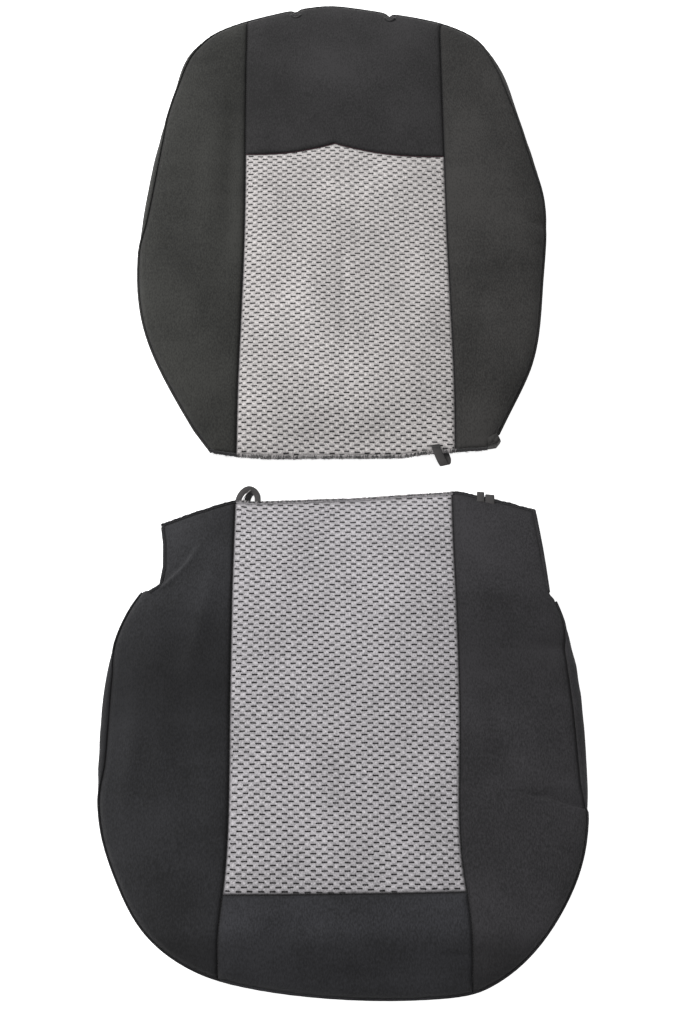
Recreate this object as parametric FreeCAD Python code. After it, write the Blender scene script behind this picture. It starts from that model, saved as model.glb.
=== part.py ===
import FreeCAD, Part
import os

# Seat cover set for one driver's seat, laid flat as it comes out of its bag: a backrest cover and a
# base cover, each an assembly of sewn fabric panels. All lengths are in millimetres.
# The origin is on the floor, in the middle of the whole set. +Z is up, +X is to the right of a
# person looking at the front of the backrest, and +Y runs from the base to the top of the backrest.

# ---- driving sizes ----
FABRIC = 3.0                # foam-backed seat cloth
LAID_HEIGHT = 30.0          # floor to the top of the laid covers
SEAM_GAP = 1.2              # slot between two panels, where they are sewn together
THREAD = 0.6                # width of the sewn thread and seam edge in that slot
THREAD_INSET = 0.5          # the thread lies this far below the cloth's face and back
OVERLOCK = 2.7              # width of an overlocked raw edge
OVERLOCK_SLOT = 3.1         # what that edge takes off its panel
OVERRUN = 40.0              # how far cutting shapes run past the cloth
REACH = 800.0               # half size of the blocks that cut right across the set
CLEAR = 0.4                 # gap between pieces that only lie against each other
SLIVER = 100.0              # scraps of cutting below this volume are dropped, in cubic millimetres
SPECK = 1.0                 # and below this volume in the thin threads

HEM_HEIGHT = 4.0            # elastic hem channel under the base cover
HEM_WIDTH = 14.0
HEM_TUNNEL = 2.4
HEM_ELASTIC = 1.8

POST_RADIUS = 7.0           # opening for a headrest post
EYELET_RADIUS = 9.0         # outside of its bound rim
EYELET_LENGTH = 7.0
EYELET_FIT = 0.2            # space between a rim and the band round it
EYELET_ROUND = 0.8          # rounding of a rim's edges
POST_PLACES = [(-66.0, 649.0), (67.0, 643.5)]
BAND_LEFT, BAND_RIGHT = -92.0, 96.0
BAND_LOW, BAND_HIGH = 4.4, 25.6

FOLD_Y = -198.0             # where the base cover turns down behind the cushion
FLAP_REAR_Y = -60.0         # the flap's slope ends past its rear edge
FLAP_REAR_Z = 1.0

WEBBING = 1.3               # thickness of the elastic webbing
WEBBING_WIDTH = 10.0
WEBBING_NEST = 1.4          # space between the two layers of a folded loop

# ---- backrest cover ----
# Each place is x, y and the width of side gusset that shows outside the perimeter seam there.
# The line runs from the left corner of the open lower end, over the top, to the right corner.
BACK_EDGE = [
    (-170, -15, 3.5), (-200, 35, 3.5), (-228, 84, 3.5), (-259, 158, 3.5), (-271, 256, 3.5), (-265, 350, 8),
    (-247, 459, 5), (-233, 520, 5), (-217, 576, 6), (-174, 615, 4), (-106, 641, 3.5),
    (-20, 657, 3.5), (52, 648, 3.5), (117, 635, 3.5), (185, 606, 4), (222, 556, 6),
    (244, 478, 5), (268, 378, 5), (273, 325, 3.5), (264, 220, 3.5),
    (243, 101, 3.5), (219, 50, 3.5), (196, 2, 3.5),
]
RIGHT_CORNER = [(196, 2), (203, -5), (195, -11), (185, -11), (185, 2)]
BACK_MOUTH = [(196, 2), (203, -5), (195, -11), (103, -17), (73, -22), (-94, -23), (-136, -20), (-170, -15)]
BACK_LEFT_SEAM = [(-132, 700), (-134, 558), (-132, 414), (-131, 255), (-134, 80), (-134, -60)]
BACK_RIGHT_SEAM = [(138, 700), (139, 560), (139.5, 412), (141, 255), (144, 100), (142.5, -60)]
BACK_CORNERS = (-150, 158)  # where the side gussets meet the top gusset
YOKE_SEAM_LEFT = [(-160, 414), (-72, 414.5), (-10, 429)]
YOKE_SEAM_RIGHT = [(-10, 429), (38, 416), (170, 411)]
# Height of the cloth's face along the cover: it sinks towards the open end.
BACK_FACE = [(-60, 18), (-10, 20), (35, 26.5), (90, LAID_HEIGHT), (720, LAID_HEIGHT)]

# ---- base cover ----
# From the right end of the fold, round the front, to the left end of the fold.
BASE_EDGE = [
    (252, FOLD_Y, 3.5), (268, -232, 8), (278, -275, 14), (284, -335, 15), (285, -411, 13), (274, -505, 5),
    (248, -560, 3.5), (198, -618, 3.5), (143, -648, 3.5), (90, -656, 3.5), (-10, -655, 3.5),
    (-92, -645, 3.5), (-177, -618, 3.5), (-224, -582, 3.5), (-256, -530, 4), (-276, -479, 6),
    (-285, -385, 13), (-282, -300, 12), (-266, -235, 7), (-237, FOLD_Y, 3.5),
]
FLAP_LEFT_SIDE = [(-237, FOLD_Y), (-224, -190), (-221, -164), (-223, -135), (-228, -110)]
FLAP_REAR = [(-228, -110), (-134, -80), (142, -67), (167, -74), (193, -80), (243, -91)]
FLAP_RIGHT_SIDE = [(243, -91), (248, -140), (250, -165), (252, FOLD_Y)]
BASE_LEFT_SEAM = [
    (-135, -20), (-134, -198), (-132, -384), (-135, -544), (-139, -588), (-136, -640), (-130, -720),
]
BASE_RIGHT_SEAM = [
    (142, -20), (138.5, -198), (138.5, -350), (135.5, -430), (137, -515), (141, -545), (145, -600),
    (142, -650), (136, -720),
]
FRONT_SEAM = [(-160, -545), (0, -544), (160, -541.5)]
BASE_CORNERS = (-136, 142)  # where the side gussets meet the front gusset

# ---- elastic loops ----
BACK_LOOP_X, BACK_LOOP_Y, BACK_LOOP_LENGTH = 123.0, -18.6, 15.6
BACK_LOOP_Z = 18.2          # level with the open edge it hangs from
LEFT_LOOP_X, LEFT_LOOP_Y = -117.0, -76.5
LEFT_LOOP_OUTER, LEFT_LOOP_INNER = 17.0, 8.0
LEFT_LOOP_LOW = 2.6
RIGHT_LOOPS = [("base_right_inner_loop", 176.5, -72.1, 9.0), ("base_right_outer_loop", 189.5, -75.1, 10.0)]
FLAP_LOOP_Z = 4.2           # centre of the folded loops on the flap

os.makedirs("parts", exist_ok=True)


def vector(x, y, z=0.0):
    return FreeCAD.Vector(x, y, z)


def save(shape, name):
    """Write a node's solids as one STEP file."""
    solids = [solid for solid in shape.Solids if solid.Volume > SPECK]
    whole = solids[0] if len(solids) == 1 else Part.makeCompound(solids)
    whole.exportStep("parts/" + name + ".step")


def smooth(points):
    """One curve through the points."""
    curve = Part.BSplineCurve()
    curve.interpolate([vector(p[0], p[1]) for p in points])
    return curve.toShape()


def straight(points):
    """Straight edges from point to point."""
    ends = zip(points[:-1], points[1:])
    return [Part.makeLine(vector(a[0], a[1]), vector(b[0], b[1])) for a, b in ends]


def prism(edges, low, high):
    """A closed flat outline, raised from one height to another."""
    wire = Part.Wire(Part.__sortEdges__(edges))
    solid = Part.Face(wire).extrude(vector(0, 0, high - low))
    solid.translate(vector(0, 0, low))
    return solid


def inset(points, distances, overrun=0.0):
    """Points moved into the cover by their distances, with both ends run on along the line."""
    moved = []
    last = len(points) - 1
    for i, point in enumerate(points):
        before = points[max(i - 1, 0)]
        after = points[min(i + 1, last)]
        along = vector(after[0] - before[0], after[1] - before[1]).normalize()
        x = point[0] + along.y * distances[i]
        y = point[1] - along.x * distances[i]
        if i == 0:
            x, y = x - along.x * overrun, y - along.y * overrun
        if i == last:
            x, y = x + along.x * overrun, y + along.y * overrun
        moved.append((x, y))
    return moved


def inside(points, extra, low=-OVERRUN, high=LAID_HEIGHT + OVERRUN):
    """Everything inside a cover's perimeter seam plus an extra distance, open past its straight end."""
    distances = [p[2] + extra for p in points]
    line = inset(points, distances, OVERRUN)
    return prism([smooth(line)] + straight([line[-1], line[0]]), low, high)


def inside_wall(points, thickness, low, high):
    """Everything inside a cover's outer edge by a wall thickness, open past its straight end."""
    line = inset(points, [thickness] * len(points), OVERRUN)
    return prism([smooth(line)] + straight([line[-1], line[0]]), low, high)


def seam_slot(points, width, sideways=True):
    """An upright slot along a seam; sideways slots widen along X, the others along Y."""
    half = width / 2
    shift = (half, 0) if sideways else (0, half)
    first = [(p[0] - shift[0], p[1] - shift[1]) for p in points]
    second = [(p[0] + shift[0], p[1] + shift[1]) for p in points]
    ends = straight([first[0], second[0]]) + straight([first[-1], second[-1]])
    return prism([smooth(first), smooth(second)] + ends, -OVERRUN, LAID_HEIGHT + OVERRUN)


def edge_band(points, width, down=False):
    """A band of plan along an open edge, on the cloth's side of it."""
    step = -width if down else width
    moved = [(p[0], p[1] + step) for p in points]
    return prism(straight(list(points) + moved[::-1] + [points[0]]), -OVERRUN, LAID_HEIGHT + OVERRUN)


def under(profile, drop):
    """The space below a cover's face, lowered by a drop: a profile along Y, run across X."""
    line = [vector(-REACH, y, z - drop) for y, z in profile]
    floor = [vector(-REACH, profile[-1][0], -OVERRUN), vector(-REACH, profile[0][0], -OVERRUN)]
    face = Part.Face(Part.makePolygon(line + floor + [line[0]]))
    return face.extrude(vector(2 * REACH, 0, 0))


def across(shape):
    """The shape's solids from left to right, without the slivers that thin cuts leave."""
    solids = [solid for solid in shape.Solids if solid.Volume > SLIVER]
    return sorted(solids, key=lambda solid: solid.CenterOfMass.x)


def largest(shape):
    return max(shape.Solids, key=lambda solid: solid.Volume)


def box(x0, x1, y0, y1, z0, z1):
    return Part.makeBox(x1 - x0, y1 - y0, z1 - z0, vector(x0, y0, z0))


def layer_of_all(low, high, front=-REACH, rear=REACH):
    """A flat layer right across the set, between two heights and two places along Y."""
    return box(-REACH, REACH, front, rear, low, high)


def corner_slots(places, front, rear):
    """Upright slots across a side wall, where two gussets are joined."""
    half = SEAM_GAP / 2
    return [box(x - half, x + half, front, rear, 0, LAID_HEIGHT) for x in places]


def along_y(shape):
    """The shape's solids from the near end to the far end."""
    return sorted(shape.Solids, key=lambda solid: solid.CenterOfMass.y)


def side_band(points, width, direction):
    """A band of plan along one side edge of the flap."""
    moved = [(p[0] + direction * width, p[1]) for p in points]
    return prism(straight(list(points) + moved[::-1] + [points[0]]), -OVERRUN, LAID_HEIGHT + OVERRUN)


def hem_ring(width):
    """A square ring along the middle of the base cover's hem."""
    low, high = (HEM_HEIGHT - width) / 2, (HEM_HEIGHT + width) / 2
    outer = inside_wall(BASE_EDGE, (HEM_WIDTH - width) / 2, low, high)
    return outer.cut(inside_wall(BASE_EDGE, (HEM_WIDTH + width) / 2, low - 1, high + 1))


def folded_loop(x, y, z, length, direction):
    """Webbing doubled back on itself, open at the stitched end, pointing along +Y or -Y."""
    inner_radius = WEBBING_NEST / 2
    outer_radius = inner_radius + WEBBING

    def slot_shape(radius, width):
        straight_part = length - outer_radius
        block = box(-width / 2, width / 2, 0, straight_part, -radius, radius)
        end = Part.makeCylinder(radius, width, vector(-width / 2, straight_part, 0), vector(1, 0, 0))
        return block.fuse(end)
    loop = slot_shape(outer_radius, WEBBING_WIDTH)
    loop = loop.cut(slot_shape(inner_radius, WEBBING_WIDTH + 2)).removeSplitter()
    if direction < 0:
        loop.rotate(vector(0, 0, 0), vector(0, 0, 1), 180)
    loop.translate(vector(x, y, z))
    return loop


# ---- backrest cover: front panels ----
back_outline = prism([smooth(BACK_EDGE)] + straight(BACK_MOUTH), 0, LAID_HEIGHT)
back_body = back_outline.common(under(BACK_FACE, 0))
back_sheet = back_body.cut(under(BACK_FACE, FABRIC))
back_layer = back_outline.common(under(BACK_FACE, THREAD_INSET))
back_layer = back_layer.cut(under(BACK_FACE, FABRIC - THREAD_INSET))
mouth = BACK_MOUTH[2:]
mouth_slot = edge_band(mouth, OVERLOCK_SLOT)

back_panels = back_sheet.common(inside(BACK_EDGE, SEAM_GAP)).cut(mouth_slot)
left_slot = seam_slot(BACK_LEFT_SEAM, SEAM_GAP)
right_slot = seam_slot(BACK_RIGHT_SEAM, SEAM_GAP)
yoke_slots = [seam_slot(side, SEAM_GAP, False) for side in (YOKE_SEAM_LEFT, YOKE_SEAM_RIGHT)]
left_bolster, centre, right_bolster = across(back_panels.cut(left_slot).cut(right_slot))
save(left_bolster, "backrest_left_bolster")
save(right_bolster, "backrest_right_bolster")
insert, yoke = along_y(centre.cut(yoke_slots))
save(insert, "backrest_centre_insert")
save(yoke, "backrest_yoke")

# ---- backrest cover: seams and the overlocked lower edge ----
back_threads = back_layer.common(inside(BACK_EDGE, SEAM_GAP)).cut(mouth_slot)
save(back_threads.common(seam_slot(BACK_LEFT_SEAM, THREAD)), "backrest_left_seam")
save(back_threads.common(seam_slot(BACK_RIGHT_SEAM, THREAD)), "backrest_right_seam")
yoke_threads = [
    back_threads.common(seam_slot(side, THREAD, False)).cut([left_slot, right_slot])
    for side in (YOKE_SEAM_LEFT, YOKE_SEAM_RIGHT)
]
save(largest(yoke_threads[0].fuse(yoke_threads[1])), "backrest_yoke_seam")
side_gap = (SEAM_GAP - THREAD) / 2
perimeter = back_layer.common(inside(BACK_EDGE, side_gap)).cut(inside(BACK_EDGE, side_gap + THREAD))
save(perimeter.cut(mouth_slot), "backrest_perimeter_seam")
front_overlock = back_sheet.common(edge_band(mouth, OVERLOCK))
save(front_overlock.common(inside(BACK_EDGE, SEAM_GAP)), "backrest_front_overlock")

# ---- backrest cover: rear panel, open at the lower end ----
rear_panel = prism([smooth(BACK_EDGE)] + straight(BACK_MOUTH), 0, FABRIC)
rear_panel = rear_panel.common(inside_wall(BACK_EDGE, CLEAR, -1, FABRIC + 1))
save(rear_panel.cut(mouth_slot), "backrest_rear_panel")
save(rear_panel.common(edge_band(mouth, OVERLOCK)), "backrest_rear_overlock")

# ---- backrest cover: gussets between the front panels and the rear panel ----
back_cavity = inside_wall(BACK_EDGE, FABRIC, -1, LAID_HEIGHT + 1).common(under(BACK_FACE, FABRIC))
back_wall = back_body.cut(back_cavity).cut(inside(BACK_EDGE, 0))
back_wall = back_wall.cut(layer_of_all(-1, FABRIC + CLEAR))
right_corner = prism(straight(RIGHT_CORNER + [RIGHT_CORNER[0]]), 0, LAID_HEIGHT)
save(back_wall.common(right_corner), "backrest_right_corner")
corner_x, corner_y = RIGHT_CORNER[-1]
back_wall = back_wall.cut(box(corner_x - OVERRUN, REACH, -REACH, corner_y + CLEAR, -1, LAID_HEIGHT))
left_gusset, top_gusset, right_gusset = across(back_wall.cut(corner_slots(BACK_CORNERS, 400, REACH)))
band_window = box(
    BAND_LEFT - CLEAR, BAND_RIGHT + CLEAR, 400, REACH, BAND_LOW - CLEAR, BAND_HIGH + CLEAR)
save(left_gusset, "backrest_left_gusset")
save(right_gusset, "backrest_right_gusset")
save(top_gusset.cut(band_window), "backrest_top_gusset")

# ---- backrest cover: band with the two bound openings for the headrest posts ----
wall_strip = back_outline.cut(inside_wall(BACK_EDGE, FABRIC, -1, LAID_HEIGHT + 1))
band = wall_strip.common(box(BAND_LEFT, BAND_RIGHT, 400, REACH, BAND_LOW, BAND_HIGH))


def post_cylinder(radius, length, x, y):
    """A cylinder along Y, half way up the side wall, with its middle at one headrest post."""
    return Part.makeCylinder(radius, length, vector(x, y - length / 2, LAID_HEIGHT / 2), vector(0, 1, 0))


for name, (x, y) in zip(("headrest_eyelet_left", "headrest_eyelet_right"), POST_PLACES):
    rim = post_cylinder(EYELET_RADIUS, EYELET_LENGTH, x, y)
    round_edges = [edge for edge in rim.Edges if hasattr(edge.Curve, "Radius")]
    rim = rim.makeFillet(EYELET_ROUND, round_edges)
    save(rim.cut(post_cylinder(POST_RADIUS, 2 * EYELET_LENGTH, x, y)), name)
    band = band.cut(post_cylinder(EYELET_RADIUS + EYELET_FIT, 6 * EYELET_LENGTH, x, y))
save(band, "headrest_band")

# ---- base cover: top panels in front of the fold ----
fold = [BASE_EDGE[-1], BASE_EDGE[0]]
fold_front = FOLD_Y - CLEAR
base_outline = prism([smooth(BASE_EDGE)] + straight(fold), 0, LAID_HEIGHT)
top_low, top_high = LAID_HEIGHT - FABRIC, LAID_HEIGHT
base_sheet = base_outline.common(layer_of_all(top_low, top_high, rear=fold_front))
thread_layer = layer_of_all(top_low + THREAD_INSET, top_high - THREAD_INSET, rear=fold_front)
base_layer = base_outline.common(thread_layer)
base_left_slot = seam_slot(BASE_LEFT_SEAM, SEAM_GAP)
base_right_slot = seam_slot(BASE_RIGHT_SEAM, SEAM_GAP)
front_slot = seam_slot(FRONT_SEAM, SEAM_GAP, False)
base_panels = base_sheet.common(inside(BASE_EDGE, SEAM_GAP))
left_side, middle_panels, right_side = across(base_panels.cut(base_left_slot).cut(base_right_slot))
save(left_side, "base_left_bolster")
save(right_side, "base_right_bolster")
front_panel, base_insert = along_y(middle_panels.cut(front_slot))
save(front_panel, "base_front_panel")
save(base_insert, "base_centre_insert")

# ---- base cover: seams ----
base_threads = base_layer.common(inside(BASE_EDGE, SEAM_GAP))
save(base_threads.common(seam_slot(BASE_LEFT_SEAM, THREAD)), "base_left_seam")
save(base_threads.common(seam_slot(BASE_RIGHT_SEAM, THREAD)), "base_right_seam")
front_thread = base_threads.common(seam_slot(FRONT_SEAM, THREAD, False))
save(largest(front_thread.cut([base_left_slot, base_right_slot])), "base_front_seam")
base_perimeter = base_layer.common(inside(BASE_EDGE, side_gap)).cut(inside(BASE_EDGE, side_gap + THREAD))
save(base_perimeter, "base_perimeter_seam")

# ---- base cover: gussets round the sides and front ----
base_cavity = inside_wall(BASE_EDGE, FABRIC, -1, top_low)
base_wall = base_outline.cut(base_cavity).cut(inside(BASE_EDGE, 0))
base_wall = base_wall.common(layer_of_all(HEM_HEIGHT + CLEAR, LAID_HEIGHT, rear=fold_front))
gussets = across(base_wall.cut(corner_slots(BASE_CORNERS, -REACH, -560)))
for gusset, name in zip(gussets, ("base_left_gusset", "base_front_gusset", "base_right_gusset")):
    save(gusset, name)

# ---- base cover: elastic hem on the floor, open at the rear ----
hem = prism([smooth(BASE_EDGE)] + straight(fold), 0, HEM_HEIGHT)
hem_space = layer_of_all(0, HEM_HEIGHT, rear=fold_front)
hem = hem.cut(inside_wall(BASE_EDGE, HEM_WIDTH, -1, HEM_HEIGHT + 1)).common(hem_space)
save(hem.cut(hem_ring(HEM_TUNNEL)), "base_hem_channel")
save(hem_ring(HEM_ELASTIC).common(hem_space), "base_hem_elastic")

# ---- base cover: flap behind the fold, which slopes down to the floor ----
FLAP_FACE = [(FOLD_Y + CLEAR, LAID_HEIGHT), (FLAP_REAR_Y, FLAP_REAR_Z + FABRIC)]
flap_edge = FLAP_LEFT_SIDE + FLAP_REAR[1:] + FLAP_RIGHT_SIDE[1:] + [FLAP_LEFT_SIDE[0]]
flap_outline = prism(straight(flap_edge), -1, LAID_HEIGHT + OVERRUN)
flap_sheet = flap_outline.common(under(FLAP_FACE, 0)).cut(under(FLAP_FACE, FABRIC))
flap_layer = flap_outline.common(under(FLAP_FACE, THREAD_INSET))
flap_layer = flap_layer.cut(under(FLAP_FACE, FABRIC - THREAD_INSET))
rear_slot = edge_band(FLAP_REAR, OVERLOCK_SLOT, down=True)
left_hem_slot = side_band(FLAP_LEFT_SIDE, OVERLOCK_SLOT, 1)
right_hem_slot = side_band(FLAP_RIGHT_SIDE, OVERLOCK_SLOT, -1)
flap_panels = flap_sheet.cut([rear_slot, left_hem_slot, right_hem_slot])
left_ear, flap_centre, right_ear = across(flap_panels.cut(base_left_slot).cut(base_right_slot))
save(left_ear, "flap_left_ear")
save(flap_centre, "flap_centre_insert")
save(right_ear, "flap_right_ear")
save(flap_layer.common(seam_slot(BASE_LEFT_SEAM, THREAD)).cut(rear_slot), "flap_left_seam")
save(flap_layer.common(seam_slot(BASE_RIGHT_SEAM, THREAD)).cut(rear_slot), "flap_right_seam")
save(flap_sheet.common(edge_band(FLAP_REAR, OVERLOCK, down=True)), "flap_rear_overlock")
save(flap_sheet.common(side_band(FLAP_LEFT_SIDE, OVERLOCK, 1)).cut(rear_slot), "flap_left_hem")
save(flap_sheet.common(side_band(FLAP_RIGHT_SIDE, OVERLOCK, -1)).cut(rear_slot), "flap_right_hem")

# ---- elastic loops that tie the covers to the seat ----
save(folded_loop(BACK_LOOP_X, BACK_LOOP_Y, BACK_LOOP_Z, BACK_LOOP_LENGTH, -1), "backrest_elastic_loop")
for name, x, y, length in RIGHT_LOOPS:
    save(folded_loop(x, y, FLAP_LOOP_Z, length, 1), name)
centre = vector(LEFT_LOOP_X, LEFT_LOOP_Y, LEFT_LOOP_LOW)
arch = Part.makeCylinder(LEFT_LOOP_OUTER, 2 * WEBBING, centre)
arch = arch.cut(Part.makeCylinder(LEFT_LOOP_INNER, 2 * WEBBING, centre))
save(arch.common(layer_of_all(0, LAID_HEIGHT, front=LEFT_LOOP_Y)), "base_left_loop")
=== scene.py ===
import math

import bpy
import numpy as np
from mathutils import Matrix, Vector, geometry


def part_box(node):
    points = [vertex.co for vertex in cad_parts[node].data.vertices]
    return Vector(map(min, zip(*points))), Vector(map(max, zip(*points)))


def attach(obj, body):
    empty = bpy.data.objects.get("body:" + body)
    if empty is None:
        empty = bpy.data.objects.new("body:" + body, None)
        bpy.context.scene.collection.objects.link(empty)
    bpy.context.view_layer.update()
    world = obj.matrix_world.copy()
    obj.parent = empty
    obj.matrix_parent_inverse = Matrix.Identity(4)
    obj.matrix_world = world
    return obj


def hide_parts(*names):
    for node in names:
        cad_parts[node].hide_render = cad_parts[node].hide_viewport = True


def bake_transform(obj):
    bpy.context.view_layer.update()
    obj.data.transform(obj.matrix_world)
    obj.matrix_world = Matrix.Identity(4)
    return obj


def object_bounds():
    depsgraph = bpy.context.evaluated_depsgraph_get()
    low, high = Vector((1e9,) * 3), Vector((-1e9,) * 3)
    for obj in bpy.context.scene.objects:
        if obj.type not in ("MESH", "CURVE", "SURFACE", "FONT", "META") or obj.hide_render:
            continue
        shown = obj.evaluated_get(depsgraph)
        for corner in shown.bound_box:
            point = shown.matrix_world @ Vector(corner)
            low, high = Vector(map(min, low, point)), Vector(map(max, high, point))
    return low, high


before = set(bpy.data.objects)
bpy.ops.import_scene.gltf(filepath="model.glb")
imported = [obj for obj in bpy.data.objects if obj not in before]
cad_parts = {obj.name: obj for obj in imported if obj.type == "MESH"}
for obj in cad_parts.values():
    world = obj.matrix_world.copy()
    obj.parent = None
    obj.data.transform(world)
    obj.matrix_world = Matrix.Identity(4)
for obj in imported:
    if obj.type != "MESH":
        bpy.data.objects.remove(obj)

# The seat cover set laid flat: a backrest cover and a base cover, sewn from cloth panels.
# Every panel takes its plan outline from its CAD node. Lengths are in metres.
CAD_BOX = [list(corner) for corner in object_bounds()]
chance = np.random.default_rng(11)

MM = 0.001
CLOTH = 2.6 * MM            # thickness of the foam-backed cloth
LAID_TOP = CAD_BOX[1][2]    # height of the laid covers
FOLD_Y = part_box("base_centre_insert")[1].y      # where the base cover's flap turns down
FLAP_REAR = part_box("flap_rear_overlock")[1].y
MOUTH_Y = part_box("backrest_front_overlock")[0].y
MOUTH_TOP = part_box("backrest_front_overlock")[1].z
DROOP = 115 * MM            # the backrest cover sinks over this length to its open end
DASH_PITCH = 13.0 * MM      # the insert's woven dashes: pitch across, and two rows up
BACK_ROWS = 9.35 * MM
BASE_ROWS = 9.3 * MM


# ------------------------------------------------------------------ plan outlines

def face_ring(node):
    """The outline of a CAD sheet's upper face, as (x, y) rows, anticlockwise."""
    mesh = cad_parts[node].data
    place, edges = {}, set()
    for face in mesh.polygons:
        if face.normal.z < 0.3:
            continue
        keys = []
        for i in face.vertices:
            co = mesh.vertices[i].co
            key = (round(co.x * 1e5), round(co.y * 1e5))
            place[key] = (co.x, co.y)
            keys.append(key)
        edges.update(zip(keys, keys[1:] + keys[:1]))
    follow = {a: b for a, b in edges if (b, a) not in edges and a != b}
    rings = []
    while follow:
        start = next(iter(sorted(follow)))
        ring, key = [], start
        while key in follow:
            ring.append(place[key])
            key = follow.pop(key)
        rings.append(np.array(ring))
    return max(rings, key=lambda ring: np.ptp(ring[:, 0]) + np.ptp(ring[:, 1]))


def closed(ring):
    return np.vstack([ring, ring[:1]])


def distance_along(path):
    """How far each place on a path lies from its start, measured along it."""
    return np.r_[0, np.cumsum(np.linalg.norm(np.diff(path, axis=0), axis=1))]


def resample(path, step):
    """Points along an open path at an even spacing; sharp corners stay."""
    turn = np.zeros(len(path), bool)
    turn[0] = turn[-1] = True
    a = path[1:-1] - path[:-2]
    b = path[2:] - path[1:-1]
    bend = np.abs(np.arctan2(a[:, 0] * b[:, 1] - a[:, 1] * b[:, 0], (a * b).sum(1)))
    turn[1:-1] = bend > math.radians(28)
    corners = np.flatnonzero(turn)
    pieces = []
    for first, last in zip(corners[:-1], corners[1:]):
        run = path[first:last + 1]
        along = distance_along(run)
        count = max(1, round(along[-1] / step))
        stops = np.linspace(0, along[-1], count + 1)[:-1]
        pieces.append(np.stack([np.interp(stops, along, run[:, k]) for k in range(path.shape[1])], 1))
    return np.vstack(pieces + [path[-1:]])


def joined_rings(front, rear, y):
    """One outline from two panels that meet along a line of constant y."""
    gap = 1.2 * MM
    front_keep = np.roll(front, -int(np.argmax(closed_jump(front[:, 1] > y - gap))), axis=0)
    rear_keep = np.roll(rear, -int(np.argmax(closed_jump(rear[:, 1] < y + gap))), axis=0)
    front_run = front_keep[front_keep[:, 1] < y - gap]
    rear_run = rear_keep[rear_keep[:, 1] > y + gap]
    return np.vstack([front_run, rear_run])


def closed_jump(flags):
    """True at each place just after a run of flags ends."""
    return np.roll(flags, 1) & ~flags


def nearest(points, path):
    """Distance of each point to an open path, and the nearest place on it."""
    best = np.full(len(points), 9.0)
    place = np.zeros((len(points), 2))
    for a, b in zip(path[:-1], path[1:]):
        along = b - a
        t = np.clip(((points - a) @ along) / max(along @ along, 1e-12), 0, 1)
        foot = a + t[:, None] * along
        away = np.linalg.norm(points - foot, axis=1)
        closer = away < best
        best[closer] = away[closer]
        place[closer] = foot[closer]
    return best, place


def directions(path):
    """Unit tangents of a path and a level direction across it."""
    tangent = np.gradient(path, axis=0)
    tangent /= np.linalg.norm(tangent, axis=1)[:, None] + 1e-12
    across = np.stack([-tangent[:, 1], tangent[:, 0], np.zeros(len(path))], 1)
    across /= np.linalg.norm(across, axis=1)[:, None] + 1e-12
    return tangent, across


def outwards(edge):
    """Unit directions square to an outline, pointing away from its inside."""
    across = directions(np.column_stack([edge, np.zeros(len(edge))]))[1][:, :2]
    return across * np.sign(((edge - edge.mean(0)) * across).sum())


def in_ring(points, ring):
    """Which points lie inside a ring."""
    inside = np.zeros(len(points), bool)
    x, y = points[:, 0], points[:, 1]
    for (ax, ay), (bx, by) in zip(ring, np.roll(ring, -1, axis=0)):
        if ay != by:
            crosses = ((ay > y) != (by > y)) & (x < (bx - ax) * (y - ay) / (by - ay) + ax)
            inside ^= crosses
    return inside


def smoothstep(t):
    t = np.clip(t, 0, 1)
    return t * t * (3 - 2 * t)


# ------------------------------------------------------------------ cloth relaxed by simulation

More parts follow.
